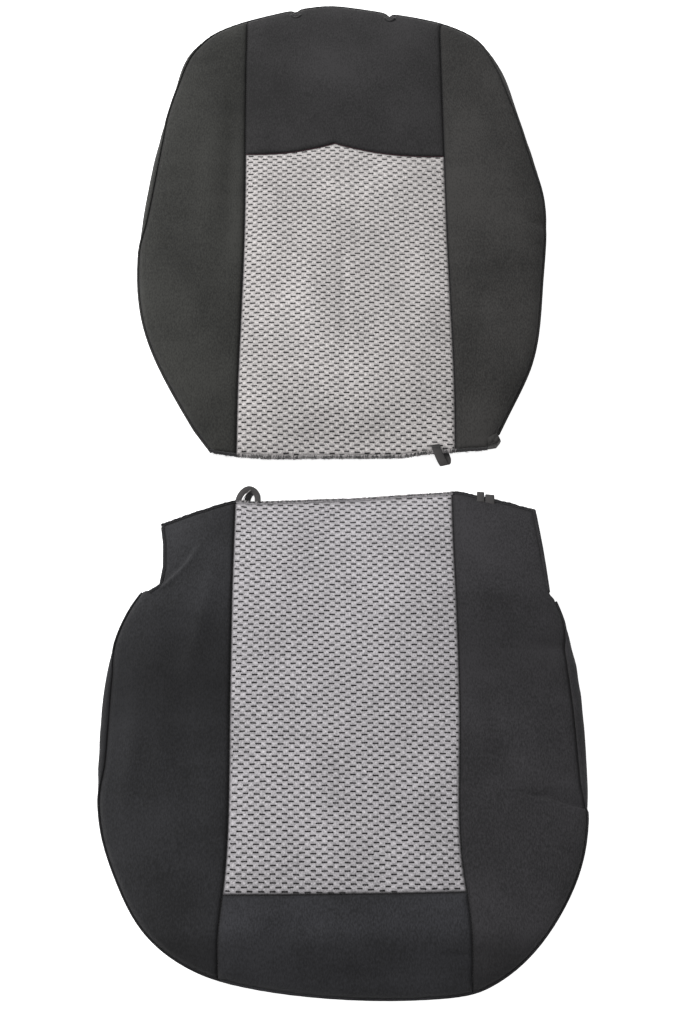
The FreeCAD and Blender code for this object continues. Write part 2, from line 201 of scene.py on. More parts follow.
def settled(name, low, high, held_path_sets, outline, step=9 * MM, frames=26):
    """Lets a flat sheet swell between its seams in a cloth simulation and returns its heights as a
    function of x and y. Near the seams and outside the outline the sheet is held."""
    nx = int((high[0] - low[0]) / step) + 3
    ny = int((high[1] - low[1]) / step) + 3
    xs = low[0] - step + np.arange(nx) * step
    ys = low[1] - step + np.arange(ny) * step
    gx, gy = np.meshgrid(xs, ys)
    flat = np.stack([gx.ravel(), gy.ravel()], 1)
    heights = np.zeros((ny, nx))
    held = ~in_ring(flat, outline)
    for path in held_path_sets:
        held |= nearest(flat, path)[0] < step * 0.75
    ripple = 0.4 * MM * np.sin(flat[:, 0] * 71 + 3 * np.sin(flat[:, 1] * 23)) * np.sin(flat[:, 1] * 57)
    verts = np.column_stack([flat, np.where(held, 0, ripple)])
    faces = [
        (j * nx + i, j * nx + i + 1, (j + 1) * nx + i + 1, (j + 1) * nx + i)
        for j in range(ny - 1) for i in range(nx - 1)
    ]
    mesh = bpy.data.meshes.new(name)
    mesh.from_pydata(verts.tolist(), [], faces)
    sheet = bpy.data.objects.new(name, mesh)
    bpy.context.scene.collection.objects.link(sheet)
    group = sheet.vertex_groups.new(name="held")
    group.add(np.flatnonzero(held).tolist(), 1.0, "REPLACE")
    cloth = sheet.modifiers.new("cloth", "CLOTH")
    cloth.settings.quality = 5
    cloth.settings.mass = 0.25
    cloth.settings.tension_stiffness = cloth.settings.compression_stiffness = 12
    cloth.settings.shear_stiffness = 4
    cloth.settings.bending_stiffness = 0.8
    cloth.settings.shrink_min = cloth.settings.shrink_max = -0.001
    cloth.settings.vertex_group_mass = "held"
    cloth.settings.use_pressure = False
    cloth.point_cache.frame_end = frames
    scene = bpy.context.scene
    gravity = tuple(scene.gravity)
    scene.gravity = (0, 0, 0.5)
    for number in range(1, frames + 1):
        scene.frame_set(number)
    settled_mesh = sheet.evaluated_get(bpy.context.evaluated_depsgraph_get()).to_mesh()
    co = np.zeros(len(settled_mesh.vertices) * 3)
    settled_mesh.vertices.foreach_get("co", co)
    heights = np.clip(co.reshape(-1, 3)[:, 2], -8 * MM, 8 * MM).reshape(ny, nx)
    scene.frame_set(1)
    scene.gravity = gravity
    bpy.data.objects.remove(sheet)

    def height(x, y):
        fx = np.clip((x - xs[0]) / step, 1, nx - 3)
        fy = np.clip((y - ys[0]) / step, 1, ny - 3)
        ix, iy = fx.astype(int), fy.astype(int)
        tx, ty = fx - ix, fy - iy
        wx, wy = spline_weights(tx), spline_weights(ty)
        total = np.zeros(len(x))
        for j in range(4):
            for i in range(4):
                total += wx[i] * wy[j] * heights[iy + j - 1, ix + i - 1]
        return total
    return height


def spline_weights(t):
    """Weights of the four neighbours in a smooth cubic curve."""
    return (
        (1 - t) ** 3 / 6,
        (3 * t ** 3 - 6 * t ** 2 + 4) / 6,
        (-3 * t ** 3 + 3 * t ** 2 + 3 * t + 1) / 6,
        t ** 3 / 6,
    )


# ------------------------------------------------------------------ outlines used all through

RINGS = {name: face_ring(name) for name in (
    "backrest_centre_insert", "backrest_yoke", "backrest_left_bolster", "backrest_right_bolster",
    "base_front_panel", "base_left_bolster", "base_right_bolster", "base_centre_insert",
    "flap_centre_insert", "flap_left_ear", "flap_right_ear",
    "backrest_rear_panel", "base_hem_channel",
)}
BACK_PANELS = ("backrest_centre_insert", "backrest_yoke", "backrest_left_bolster", "backrest_right_bolster")
BASE_INSERT = joined_rings(RINGS["base_centre_insert"], RINGS["flap_centre_insert"], FOLD_Y)
BASE_LEFT = joined_rings(RINGS["base_left_bolster"], RINGS["flap_left_ear"], FOLD_Y)
BASE_RIGHT = joined_rings(RINGS["base_right_bolster"], RINGS["flap_right_ear"], FOLD_Y)


def open_run(ring, keep):
    """The longest open run of a ring's points that are to be kept, in the ring's order."""
    start = int(np.argmax(closed_jump(~keep)))
    ring, keep = np.roll(ring, -start, axis=0), np.roll(keep, -start)
    runs, run = [], []
    for point, wanted in zip(ring, keep):
        if wanted:
            run.append(point)
        elif run:
            runs.append(np.array(run))
            run = []
    if run:
        runs.append(np.array(run))
    return max(runs, key=lambda points: distance_along(points)[-1])


def outer_edge(ring, keep):
    return resample(open_run(ring, keep), 4 * MM)


rear_ring = RINGS["backrest_rear_panel"]
above_mouth = (rear_ring[:, 1] > 2 * MM) | ((rear_ring[:, 0] < 0) & (rear_ring[:, 1] > -13 * MM))
BACK_EDGE = outer_edge(rear_ring, above_mouth)
left_ring = RINGS["backrest_left_bolster"]
left_corner = left_ring[np.argmin(left_ring.sum(1))]
BACK_EDGE = resample(np.vstack([BACK_EDGE, left_corner + [-2.4 * MM, 2.4 * MM]]), 4 * MM)
hem_ring = RINGS["base_hem_channel"]
BASE_EDGE = outer_edge(hem_ring, hem_ring[:, 1] < FOLD_Y - 1 * MM)


def seam_from(node, edge, panel_rings):
    """The perimeter seam: for each place on the outer edge, the nearest place on the seam's thread.
    Past the thread's ends the panels' own outlines carry it on."""
    away, seam_line = nearest(edge, closed(face_ring(node)))
    for ring in panel_rings:
        border_away, border = nearest(edge, closed(ring))
        carried = border_away < away - 0.4 * MM
        away[carried], seam_line[carried] = border_away[carried], border[carried]
    even = np.pad(seam_line, ((2, 2), (0, 0)), mode="edge")
    return sum(even[k:k + len(seam_line)] for k in range(5)) / 5


BACK_SEAM = seam_from("backrest_perimeter_seam", BACK_EDGE, [RINGS[name] for name in BACK_PANELS[1:]])
BASE_SEAM = seam_from("base_perimeter_seam", BASE_EDGE, [BASE_LEFT, BASE_RIGHT, RINGS["base_front_panel"]])


STRIP_HIDDEN, STRIP_SHOWN = 4.2 * MM, 5.6 * MM      # side strips this narrow are rolled out of sight
ROLL_REACH, ROLL_DROP = 15 * MM, 2.5 * MM


class Perimeter:
    """Where a cover's perimeter seam shows: on the face, or rolled over the edge onto the side."""

    def __init__(self, seam_line, edge_line, swell):
        width = np.linalg.norm(edge_line - seam_line, axis=1)
        hidden = 1 - smoothstep((width - STRIP_HIDDEN) / (STRIP_SHOWN - STRIP_HIDDEN))
        hidden = np.convolve(np.pad(hidden, 4, mode="edge"), np.ones(9) / 9, mode="valid")[:, None]
        swollen = outwards(edge_line) * swell[:, None]
        self.flat = seam_line
        self.foot = edge_line
        self.edge = edge_line + swollen
        self.push = (self.edge - seam_line) * hidden * 0.93 + swollen * (1 - hidden) * 0.8
        self.line = seam_line + self.push
        self.sink = ROLL_DROP * hidden[:, 0]

    def roll(self, points, z):
        """Moves a panel's places near the perimeter out and down to the rolled seam."""
        away = nearest(points, self.flat[::2])[0]
        near = np.flatnonzero(away < ROLL_REACH)
        places = points[near]
        index = np.array([np.argmin(((self.flat - place) ** 2).sum(1)) for place in places])
        t = 1 - away[near] / ROLL_REACH
        moved, lowered = points.copy(), z.copy()
        moved[near] += self.push[index] * smoothstep(t)[:, None]
        lowered[near] -= self.sink[index] * (1 - np.sqrt(1 - t * t))
        return moved, lowered


BACK_PERIMETER = Perimeter(BACK_SEAM, BACK_EDGE, np.zeros(len(BACK_EDGE)))
BASE_SWELL = (1.8 + 3.4 * smoothstep(np.abs(outwards(BASE_EDGE)[:, 0]) / 0.4)) * MM
BASE_PERIMETER = Perimeter(BASE_SEAM, BASE_EDGE, BASE_SWELL)


def side_above(ring, axis, limit):
    """The part of a ring where x (axis 0) or y (axis 1) is above a limit."""
    return open_run(ring, ring[:, axis] > limit)


def side_below(ring, axis, limit):
    return open_run(ring, ring[:, axis] < limit)


# Shared edges of neighbouring panels, in order along the seam.
BACK_LEFT_SEAM = side_above(RINGS["backrest_left_bolster"], 0, -0.136)
BACK_RIGHT_SEAM = side_below(RINGS["backrest_right_bolster"], 0, 0.1455)
YOKE_SEAM = side_below(RINGS["backrest_yoke"], 1, 0.434)
BASE_LEFT_SEAM = side_above(BASE_LEFT, 0, -0.1405)
BASE_RIGHT_SEAM = side_below(BASE_RIGHT, 0, 0.1465)
FRONT_SEAM = side_above(RINGS["base_front_panel"], 1, -0.548)

back_relief = settled(
    "backrest_settling", (-0.275, -0.03), (0.275, 0.66),
    [BACK_SEAM[::4], BACK_LEFT_SEAM[::3], BACK_RIGHT_SEAM[::3], YOKE_SEAM[::3]],
    BACK_EDGE,
)
base_relief = settled(
    "base_settling", (-0.288, -0.66), (0.288, -0.06),
    [BASE_SEAM[::4], BASE_LEFT_SEAM[::3], BASE_RIGHT_SEAM[::3], FRONT_SEAM[::3]],
    np.vstack([BASE_EDGE, [(0.243, -0.091), (0.142, -0.067), (-0.134, -0.08), (-0.228, -0.11)]]),
)


POST_PLACES = []
for eyelet in ("headrest_eyelet_left", "headrest_eyelet_right"):
    eyelet_low, eyelet_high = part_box(eyelet)
    POST_PLACES.append(((eyelet_low.x + eyelet_high.x) / 2, (eyelet_low.y + eyelet_high.y) / 2))


# ------------------------------------------------------------------ folds and heights

def valley(x, y, start, end, width, depth):
    """A soft valley between two places, its width and depth in mm; a negative depth makes a ridge."""
    path = np.array([start, end])
    away, foot = nearest(np.stack([x, y], 1), path)
    length = np.linalg.norm(path[1] - path[0])
    t = np.linalg.norm(foot - path[0], axis=1) / length
    fade = np.sin(np.pi * np.clip(0.12 + 0.76 * t, 0, 1))
    return -depth * MM * fade * np.exp(-(away / (width * MM)) ** 2)


PLEAT_LINE = np.array([(0.206, -0.4325), (0.222, -0.438), (0.238, -0.440), (0.252, -0.444), (0.2705, -0.4505)])
EAR_FOLD = np.array([
    (-0.166, -0.122), (-0.172, -0.136), (-0.185, -0.155),
    (-0.196, -0.170), (-0.215, -0.188), (-0.2365, -0.199),
])


def pleat(x, y):
    """The tucked dart in the right bolster: a wedge that lies under a crisp lip."""
    t = np.clip((x - PLEAT_LINE[0, 0]) / (PLEAT_LINE[-1, 0] - PLEAT_LINE[0, 0]), 0, 1)
    lip = np.interp(x, PLEAT_LINE[:, 0], PLEAT_LINE[:, 1])
    width = (2 + 24 * t) * MM
    above = (y - lip) / width
    depth = 5.5 * MM * np.sqrt(t) * (x > PLEAT_LINE[0, 0])
    wedge = np.where(above > 0, -np.clip(1 - above, 0, 1) ** 1.3, 0)
    swell = np.exp(np.minimum(above, 0) * width / (9 * MM)) * (above <= 0)
    return depth * (wedge + 0.22 * swell)


def ear_step(x, y):
    """The left ear lies lower than the bolster that rolls over its root."""
    points = np.stack([x, y], 1)
    away, foot = nearest(points, EAR_FOLD)
    outside = (x - foot[:, 0]) < 0
    t = nearest(points, EAR_FOLD[:1].repeat(2, 0) + [[0, 0], [1e-6, 0]])[0] / 0.11
    drop = 6.0 * MM * smoothstep(t * 1.6)
    crest = 1.8 * MM * np.exp(-(away / (3 * MM)) ** 2) * smoothstep(t * 2)
    near = (x < -0.15) & (y > -0.2)
    return np.where(near, crest - np.where(outside, drop * smoothstep(away / (5 * MM)), 0), 0)


def edge_roll(away, reach, drop):
    """How far the cloth has sunk at a distance from the edge it rolls over."""
    t = np.clip(1 - away / reach, 0, 1)
    return -drop * (1 - np.sqrt(np.clip(1 - t * t, 0, 1)))


def crown(away):
    """A padded panel rises gently away from its seams and dips sharply into them."""
    return 1.3 * MM * (1 - np.exp(-away / (16 * MM))) - 1.7 * MM * np.exp(-(away / (1.9 * MM)) ** 2)


# Soft folds of each cover: start, end, width in mm and depth in mm.
BACK_FOLDS = (
    ((0.000, 0.42), (0.004, 0.02), 6, 1.0),
    ((0.017, 0.40), (0.020, 0.26), 11, 1.4),
    ((-0.150, 0.52), (-0.152, 0.26), 12, 2.6),
    ((-0.175, 0.50), (-0.185, 0.20), 16, -1.6),
    ((0.245, 0.315), (0.275, 0.300), 9, 3.4),
    ((0.160, 0.62), (0.215, 0.44), 18, 2.0),
    ((-0.09, 0.60), (-0.05, 0.46), 24, 1.6),
    ((0.06, 0.33), (0.10, 0.14), 20, 1.8),
    ((-0.08, 0.25), (-0.05, 0.08), 20, 1.6),
    ((-0.235, 0.19), (-0.15, 0.06), 20, 2.0),
    ((0.19, 0.22), (0.16, 0.04), 16, 2.0),
)


def back_height(x, y):
    """Height of the backrest cover's face, before the seams' own grooves."""
    away = nearest(np.stack([x, y], 1), BACK_SEAM[::3])[0]
    droop = (LAID_TOP - MOUTH_TOP) * (1 - smoothstep((y - MOUTH_Y) / DROOP))
    z = LAID_TOP - 1.0 * MM - droop + edge_roll(away, 26 * MM, 3.2 * MM)
    z += back_relief(x, y)
    for fold in BACK_FOLDS:
        z += valley(x, y, *fold)
    return z


BASE_FOLDS = (
    ((0.170, -0.180), (0.232, -0.242), 14, 4.0),
    ((0.225, -0.262), (0.268, -0.266), 10, 3.6),
    ((0.110, -0.606), (0.142, -0.609), 2.8, 2.4),
    ((-0.02, -0.628), (0.07, -0.630), 9, 2.4),
    ((-0.11, -0.60), (-0.02, -0.57), 12, 1.6),
    ((0.02, -0.15), (0.05, -0.30), 22, 1.8),
    ((-0.07, -0.33), (-0.04, -0.50), 20, 1.8),
    ((0.09, -0.34), (0.06, -0.46), 18, 1.6),
    ((-0.155, -0.16), (-0.185, -0.30), 12, -2.6),
    ((-0.20, -0.24), (-0.17, -0.48), 18, 2.4),
    ((-0.24, -0.33), (-0.25, -0.45), 12, -1.8),
    ((0.17, -0.30), (0.19, -0.40), 14, 2.4),
    ((0.21, -0.30), (0.235, -0.40), 12, -1.8),
    ((0.17, -0.50), (0.22, -0.57), 14, 2.2),
)


def base_height(x, y):
    """Height of the base cover's face, with the flap sloping down behind the fold."""
    away = nearest(np.stack([x, y], 1), BASE_SEAM[::3])[0]
    slope = (LAID_TOP - 4.2 * MM) / (FLAP_REAR + 5 * MM - FOLD_Y)
    soft = 9 * MM
    past = soft * np.log1p(np.exp(np.clip((y - FOLD_Y) / soft, -40, 40)))
    z = LAID_TOP - 1.0 * MM - slope * past
    z += edge_roll(away, 30 * MM, 3.4 * MM) * smoothstep((FOLD_Y + 30 * MM - y) / (30 * MM))
    z += base_relief(x, y) * smoothstep((FLAP_REAR - y) / 0.06)
    z += pleat(x, y) + ear_step(x, y)
    for fold in BASE_FOLDS:
        z += valley(x, y, *fold)
    return z


# ------------------------------------------------------------------ woven pattern of the inserts

def weave_back(x, y):
    """Cloth coordinates of the backrest insert, in dash pitches. The rows sag to the right of the
    middle near the open end and run downhill to the right higher up."""
    low_sag = 12.5 * MM * smoothstep((x + 0.126) / 0.2) - 3.5 * MM * smoothstep((x - 0.08) / 0.07)
    high_sag = 19 * MM * smoothstep((x + 0.115) / 0.27)
    peak = 7 * MM * np.exp(-((x + 0.01) / 0.045) ** 2) * smoothstep((y - 0.34) / 0.08)
    share = smoothstep((y - 0.05) / 0.26)
    v = y + low_sag * (1 - share) + high_sag * share * smoothstep((0.47 - y) / 0.16) - peak
    v += 0.5 * MM * np.sin(x * 75 + y * 21)
    u = x + 1.2 * MM * np.sin(y * 15 + 0.5) + 0.7 * MM * np.sin(x * 40)
    return u / DASH_PITCH, v / BACK_ROWS


def weave_base(x, y):
    v = y + 7 * MM * smoothstep((x + 0.14) / 0.28) + 1.0 * MM * np.sin(x * 31 + 2.0 + y * 7)
    v += 0.5 * MM * np.sin(x * 62 - y * 18)
    u = x + 0.9 * MM * np.sin(y * 13 + 1)
    return u / DASH_PITCH, v / BASE_ROWS


def puff(u, v):
    """The jacquard's blocks: high between the dashes, low along them."""
    return -np.cos(2 * np.pi * u) * np.cos(2 * np.pi * v)


# ------------------------------------------------------------------ mesh building

def new_piece(name, verts, faces, materials, face_material=None, smooth=True):
    mesh = bpy.data.meshes.new(name)
    mesh.from_pydata(np.asarray(verts).tolist(), [], faces)
    for material in materials:
        mesh.materials.append(material)
    if face_material is not None:
        mesh.polygons.foreach_set("material_index", np.asarray(face_material, np.int32))
    mesh.polygons.foreach_set("use_smooth", [smooth] * len(mesh.polygons))
    mesh.update()
    piece = bpy.data.objects.new(name, mesh)
    bpy.context.scene.collection.objects.link(piece)
    return piece


def fill(ring, step, extra=None):
    """Even points and triangles over a plan outline. The first points are the outline itself."""
    border = resample(closed(ring), step)[:-1]
    low, high = border.min(0), border.max(0)
    rows = []
    height = step * math.sqrt(3) / 2
    for k, y in enumerate(np.arange(low[1], high[1], height)):
        xs = np.arange(low[0] + (k % 2) * step / 2, high[0], step)
        rows.append(np.stack([xs, np.full(len(xs), y)], 1))
    inner = np.vstack(rows)
    inner = inner[in_ring(inner, border)]
    inner = inner[nearest(inner, closed(border))[0] > step * 0.55]
    if extra is not None:
        inner = inner[nearest(inner, extra)[0] > step * 0.8]
        sides = [extra + [0, 0.35 * MM], extra - [0, 0.35 * MM]]
        inner = np.vstack([inner] + [side[in_ring(side, border)] for side in sides])
    points = np.vstack([border, inner])
    loop = [list(range(len(border)))]
    out = geometry.delaunay_2d_cdt([Vector(p) for p in points], [], loop, 1, 1e-7)
    verts = np.array([tuple(v) for v in out[0]])
    origin = [ids[0] if ids else -1 for ids in out[3]]
    rank = {v: i for i, v in enumerate(origin)}
    rim = [rank[i] for i in range(len(border)) if i in rank]
    return verts, [tuple(f) for f in out[2]], rim


def painted_light(y, dip_y, dip, rear_lift):
    """Painted light and shade along the base cover, as a gain on the cloth's colour: darker where the cloth
    turns down at the front and in one dip, and lighter on the flap."""
    front_turn = 0.22 * smoothstep((-0.575 - y) / 0.03)
    darker = dip * np.exp(-((y - dip_y) / 0.055) ** 2)
    return 1.1 - front_turn - darker + rear_lift * smoothstep((y + 0.25) / 0.08)


def panel(name, ring, height, materials, step, weave=None, extra=None, perimeter=None, painted_light_shape=None):
    """A closed sheet of cloth over a plan outline: a shaped face, a lining below and an edge. Given a shape,
    painted light and shade make the cloth lighter in some stretches than in others."""
    points, faces, rim = fill(ring, step, extra)
    x, y = points[:, 0], points[:, 1]
    away = nearest(points, closed(resample(closed(ring), 8 * MM)[:-1]))[0]
    base = height(x, y)
    top = base + crown(away)
    if weave is not None:
        u, v = weave(x, y)
        top = top + 0.32 * MM * puff(u, v) * smoothstep(away / (4 * MM))
    bottom = base - CLOTH
    if perimeter is not None:
        drawn, lowered = perimeter.roll(points, top)
        bottom = bottom + lowered - top
        points, top = drawn, lowered
    count = len(points)
    bottom = np.minimum(bottom, top - 0.8 * MM)
    verts = np.vstack([np.column_stack([points, top]), np.column_stack([points, bottom])])
    under = [tuple(i + count for i in reversed(f)) for f in faces]
    edge = [(a, b, b + count, a + count) for a, b in zip(rim, rim[1:] + rim[:1])]
    if signed_area(points[rim]) > 0:
        edge = [tuple(reversed(f)) for f in edge]
    kinds = [0] * len(faces) + [1] * len(under) + [0] * len(edge)
    piece = new_piece(name, verts, faces + under + edge, materials, kinds)
    seam_near = piece.data.attributes.new("seam_near", "FLOAT", "POINT")
    seam_near.data.foreach_set("value", np.tile(np.clip(1 - away / (10 * MM), 0, 1), 2).astype(np.float32))
    # painted light and shade along the cover, kept as a colour gain for each point
    if painted_light_shape is not None:
        gain = painted_light(y, *painted_light_shape) ** 2.2 - 1
        painted_light_gain = piece.data.attributes.new("painted_light_gain", "FLOAT", "POINT")
        painted_light_gain.data.foreach_set("value", np.tile(gain, 2).astype(np.float32))
    if weave is not None:
        layer = piece.data.uv_layers.new(name="cloth")
        loops = np.zeros(len(piece.data.loops), np.int32)
        piece.data.loops.foreach_get("vertex_index", loops)
        uv = np.tile(np.stack([u, v], 1), (2, 1))[loops]
        layer.data.foreach_set("uv", uv.astype(np.float32).ravel())
    return piece


def signed_area(ring):
    x, y = ring[:, 0], ring[:, 1]
    return 0.5 * float(np.sum(x * np.roll(y, -1) - np.roll(x, -1) * y))


def sweep(path, sides, section):
    """Verts and faces of a tube: each place on the path carries a closed section of (a, b) offsets
    along the two given side directions."""
    count, rings = len(section[0]), len(path)
    verts = []
    for place, (a, b), shape in zip(path, sides, section):
        verts.extend(place + shape[:, :1] * a + shape[:, 1:] * b)
    faces = []
    for i in range(rings - 1):
        for j in range(count):
            k = (j + 1) % count
            faces.append((i * count + j, i * count + k, (i + 1) * count + k, (i + 1) * count + j))
    faces.append(tuple(reversed(range(count))))
    faces.append(tuple((rings - 1) * count + j for j in range(count)))
    return np.array(verts), faces


def merge(parts):
    """Several (verts, faces) parts as one."""
    verts, faces, start = [], [], 0
    for v, f in parts:
        verts.append(v)
        faces.extend(tuple(i + start for i in face) for face in f)
        start += len(v)
    return np.vstack(verts), faces


def stitches(path, pitch, length, radius):
    """A row of short thread stitches lying along a path."""
    along = distance_along(path)
    parts = []
    angles = np.arange(6) * math.pi / 3
    circle = np.stack([np.cos(angles), np.sin(angles)], 1)
    for centre in np.arange(pitch / 2, along[-1], pitch):
        stops = centre + length * np.array([-0.5, -0.42, 0, 0.42, 0.5])
        run = np.stack([np.interp(stops, along, path[:, k]) for k in range(3)], 1)
        run[:, 2] += radius * np.array([-0.9, -0.2, 0.35, -0.2, -0.9])
        tangent, across = directions(run)
        run += across * radius * chance.uniform(-0.25, 0.25)
        up = np.cross(tangent, across)
        sizes = radius * np.array([0.35, 0.9, 1.0, 0.9, 0.35])
        parts.append(sweep(run, list(zip(across, up)), [circle * s for s in sizes]))
    return merge(parts)


def tape(path, width, thickness, across=None):
    """A flat band along a path with softly rounded edges."""
    tangent, level = directions(path)
    level = level if across is None else across
    up = np.cross(tangent, level)
    half, thin = width / 2, thickness / 2
    shape = np.array([
        (-half, -0.4 * thin), (-half, 0.4 * thin), (-half * 0.9, thin), (0, thin * 1.05), (half * 0.9, thin),
        (half, 0.4 * thin), (half, -0.4 * thin), (half * 0.9, -thin), (0, -thin * 1.05), (-half * 0.9, -thin),
    ])
    return sweep(path, list(zip(level, up)), [shape] * len(path))


# ------------------------------------------------------------------ materials

def srgb(*values):
    """A colour from 0-255 display values, as linear rgba."""
    linear = [((v / 255 + 0.055) / 1.055) ** 2.4 if v > 10 else v / 255 / 12.92 for v in values]
    return (*linear, 1.0)


def shade(tint, factor):
    """A colour made darker or lighter."""
    return srgb(*(value * factor for value in tint))


class Shader:
    """A small helper for building a procedural material."""

    def __init__(self, name, roughness, sheen=0.0):
        self.material = bpy.data.materials.new(name)
        self.material.use_nodes = True
        self.tree = self.material.node_tree
        self.surface = self.tree.nodes["Principled BSDF"]
        self.surface.inputs["Roughness"].default_value = roughness
        self.surface.inputs["Sheen Weight"].default_value = sheen
        self.surface.inputs["Sheen Roughness"].default_value = 0.6
        self.surface.inputs["Specular IOR Level"].default_value = 0.25
        self.place = self.add("ShaderNodeTexCoord").outputs["Object"]

    def add(self, kind, **settings):
        node = self.tree.nodes.new(kind)
        for key, value in settings.items():
            setattr(node, key, value)
        return node

    def link(self, source, target):
        self.tree.links.new(source, target)

    def scaled(self, x, y, z, source=None):
        node = self.add("ShaderNodeMapping")
        node.inputs["Scale"].default_value = (x, y, z)
        self.link(source or self.place, node.inputs["Vector"])
        return node.outputs["Vector"]

    def noise(self, scale, detail=2.0, source=None):
        node = self.add("ShaderNodeTexNoise")
        node.inputs["Scale"].default_value = scale
        node.inputs["Detail"].default_value = detail
        self.link(source or self.place, node.inputs["Vector"])
        return node.outputs["Fac"]

    def cells(self, scale, source=None):
        node = self.add("ShaderNodeTexVoronoi")
        node.inputs["Scale"].default_value = scale
        self.link(source or self.place, node.inputs["Vector"])
        return node.outputs["Distance"]

    def wave(self, scale, source, distortion=0.6):
        node = self.add("ShaderNodeTexWave")
        node.inputs["Scale"].default_value = scale
        node.inputs["Distortion"].default_value = distortion
        node.inputs["Detail"].default_value = 1.0
        self.link(source, node.inputs["Vector"])
        return node.outputs["Fac"]

    def attribute(self, name):
        return self.add("ShaderNodeAttribute", attribute_name=name).outputs["Fac"]

    def number(self, operation, a, b=0.0, c=0.0):
        node = self.add("ShaderNodeMath", operation=operation)
        for socket, value in zip(node.inputs, (a, b, c)):
            if isinstance(value, (int, float)):
                socket.default_value = value
            else:
                self.link(value, socket)
        return node.outputs[0]

    def ramp(self, factor, *stops):
        node = self.add("ShaderNodeValToRGB")
        ramp = node.color_ramp
        while len(ramp.elements) < len(stops):
            ramp.elements.new(0.5)
        for element, (position, colour) in zip(ramp.elements, stops):
            element.position = position
            element.color = colour
        self.link(factor, node.inputs["Fac"])
        return node.outputs["Color"]

    def mixed(self, factor, a, b, mode="MIX"):
        node = self.add("ShaderNodeMix", data_type="RGBA", blend_type=mode)
        for socket, value in ((node.inputs[0], factor), (node.inputs[6], a), (node.inputs[7], b)):
            if isinstance(value, (int, float, tuple)):
                socket.default_value = value
            else:
                self.link(value, socket)
        return node.outputs[2]

    def finish(self, colour, height=None, depth=0.0, strength=1.0):
        if isinstance(colour, tuple):
            self.surface.inputs["Base Color"].default_value = colour
        else:
            self.link(colour, self.surface.inputs["Base Color"])
        if height is not None:
            bump = self.add("ShaderNodeBump")
            bump.inputs["Strength"].default_value = strength
            bump.inputs["Distance"].default_value = depth
            self.link(height, bump.inputs["Height"])
            self.link(bump.outputs["Normal"], self.surface.inputs["Normal"])
        return self.material


def black_cloth(name, *tint):
    """Foam-backed black knit: faint fleck, dusty bloom, and darker beside the seams, partly dirt and partly
    painted shade in the seam grooves.
    """
    cloth = Shader(name, 0.9, sheen=0.05)
    fleck = cloth.noise(620, 2, cloth.scaled(1, 0.5, 1))
    bloom = cloth.noise(9, 3)
    light = cloth.number("ADD", cloth.number("MULTIPLY", fleck, 0.5), cloth.number("MULTIPLY", bloom, 0.5))
    dark = shade(tint, 0.76)
    pale = shade(tint, 1.24)
    colour = cloth.ramp(light, (0.38, dark), (0.62, pale))
    # darker beside the seams: partly dirt, partly painted shade where the cloth dips into the grooves
    beside = cloth.ramp(cloth.attribute("seam_near"),
                        (0.0, srgb(255, 255, 255)), (0.65, srgb(245, 245, 245)), (1.0, srgb(205, 205, 205)))
    colour = cloth.mixed(1.0, colour, beside, "MULTIPLY")
    # painted light and shade along the base cover, from a gain stored on each point
    colour = cloth.mixed(1.0, colour, cloth.number("ADD", cloth.attribute("painted_light_gain"), 1.0), "MULTIPLY")
    weave = cloth.number("ADD", cloth.wave(420, cloth.scaled(1, 0.5, 1)), cloth.noise(600, 2))
    return cloth.finish(colour, weave, 0.25 * MM, 0.5)


def jacquard(name, middle):
    """Silver-grey face cloth: pale woven blocks between the dashes, partly the weave and partly painted
    highlight on their puffs, with the warp showing; right beside the seams it is darker, partly dirt and
    partly painted shade in the seam grooves.
    """
    cloth = Shader(name, 0.8, sheen=0.12)
    uv = cloth.add("ShaderNodeUVMap", uv_map="cloth").outputs["UV"]
    split = cloth.add("ShaderNodeSeparateXYZ")
    cloth.link(uv, split.inputs[0])
    turn = 2 * math.pi
    across = cloth.number("COSINE", cloth.number("MULTIPLY", split.outputs[0], turn))
    along = cloth.number("COSINE", cloth.number("MULTIPLY", split.outputs[1], turn))
    # pale woven blocks between the dashes: partly the weave, partly painted highlight on the puffs' crests
    block_and_puff_light = cloth.number("MULTIPLY", cloth.number("MULTIPLY", across, along), -1.0)
    threads = cloth.noise(40, 3, cloth.scaled(1.6, 7, 1, uv))
    patch = cloth.noise(14, 3)
    flecks = cloth.noise(520, 1)
    level = cloth.number("ADD", cloth.number("MULTIPLY", block_and_puff_light, 0.11), 0.5)
    for pattern, weight in ((threads, 0.45), (flecks, 0.55), (patch, 0.22)):
        centred = cloth.number("SUBTRACT", pattern, 0.5)
        level = cloth.number("ADD", level, cloth.number("MULTIPLY", centred, weight))
    dark = shade(middle, 0.62)
    mid = srgb(*middle)
    pale = shade(middle, 1.34)
    colour = cloth.ramp(level, (0.2, dark), (0.5, mid), (0.8, pale))
    # darker right beside the seams: partly dirt, partly painted shade where the cloth dips into the grooves
    beside = cloth.ramp(cloth.attribute("seam_near"),
                        (0.5, srgb(255, 255, 255)), (0.8, srgb(235, 235, 235)), (1.0, srgb(120, 118, 120)))
    colour = cloth.mixed(1.0, colour, beside, "MULTIPLY")
    grain = cloth.number("ADD", cloth.noise(700, 2), cloth.number("MULTIPLY", threads, 0.7))
    return cloth.finish(colour, grain, 0.3 * MM, 0.55)


def thread(name, *tint, roughness=0.75):
    """Twisted sewing thread or yarn."""
    yarn = Shader(name, roughness, sheen=0.2)
    twist = yarn.noise(1500, 2)
    colour = yarn.ramp(twist, (0.3, shade(tint, 0.75)), (0.7, shade(tint, 1.2)))
    return yarn.finish(colour, twist, 0.1 * MM, 0.5)


def webbing(name, *tint):
    """Ribbed elastic: fine ribs along the band."""
    band = Shader(name, 0.7, sheen=0.15)
    ribs = band.wave(330, band.scaled(1, 0.12, 0.12), 0.2)
    mottle = band.noise(500, 2)
    level = band.number("ADD", band.number("MULTIPLY", ribs, 0.6), band.number("MULTIPLY", mottle, 0.4))
    colour = band.ramp(level, (0.25, shade(tint, 0.7)), (0.75, shade(tint, 1.2)))
    return band.finish(colour, ribs, 0.3 * MM, 0.7)


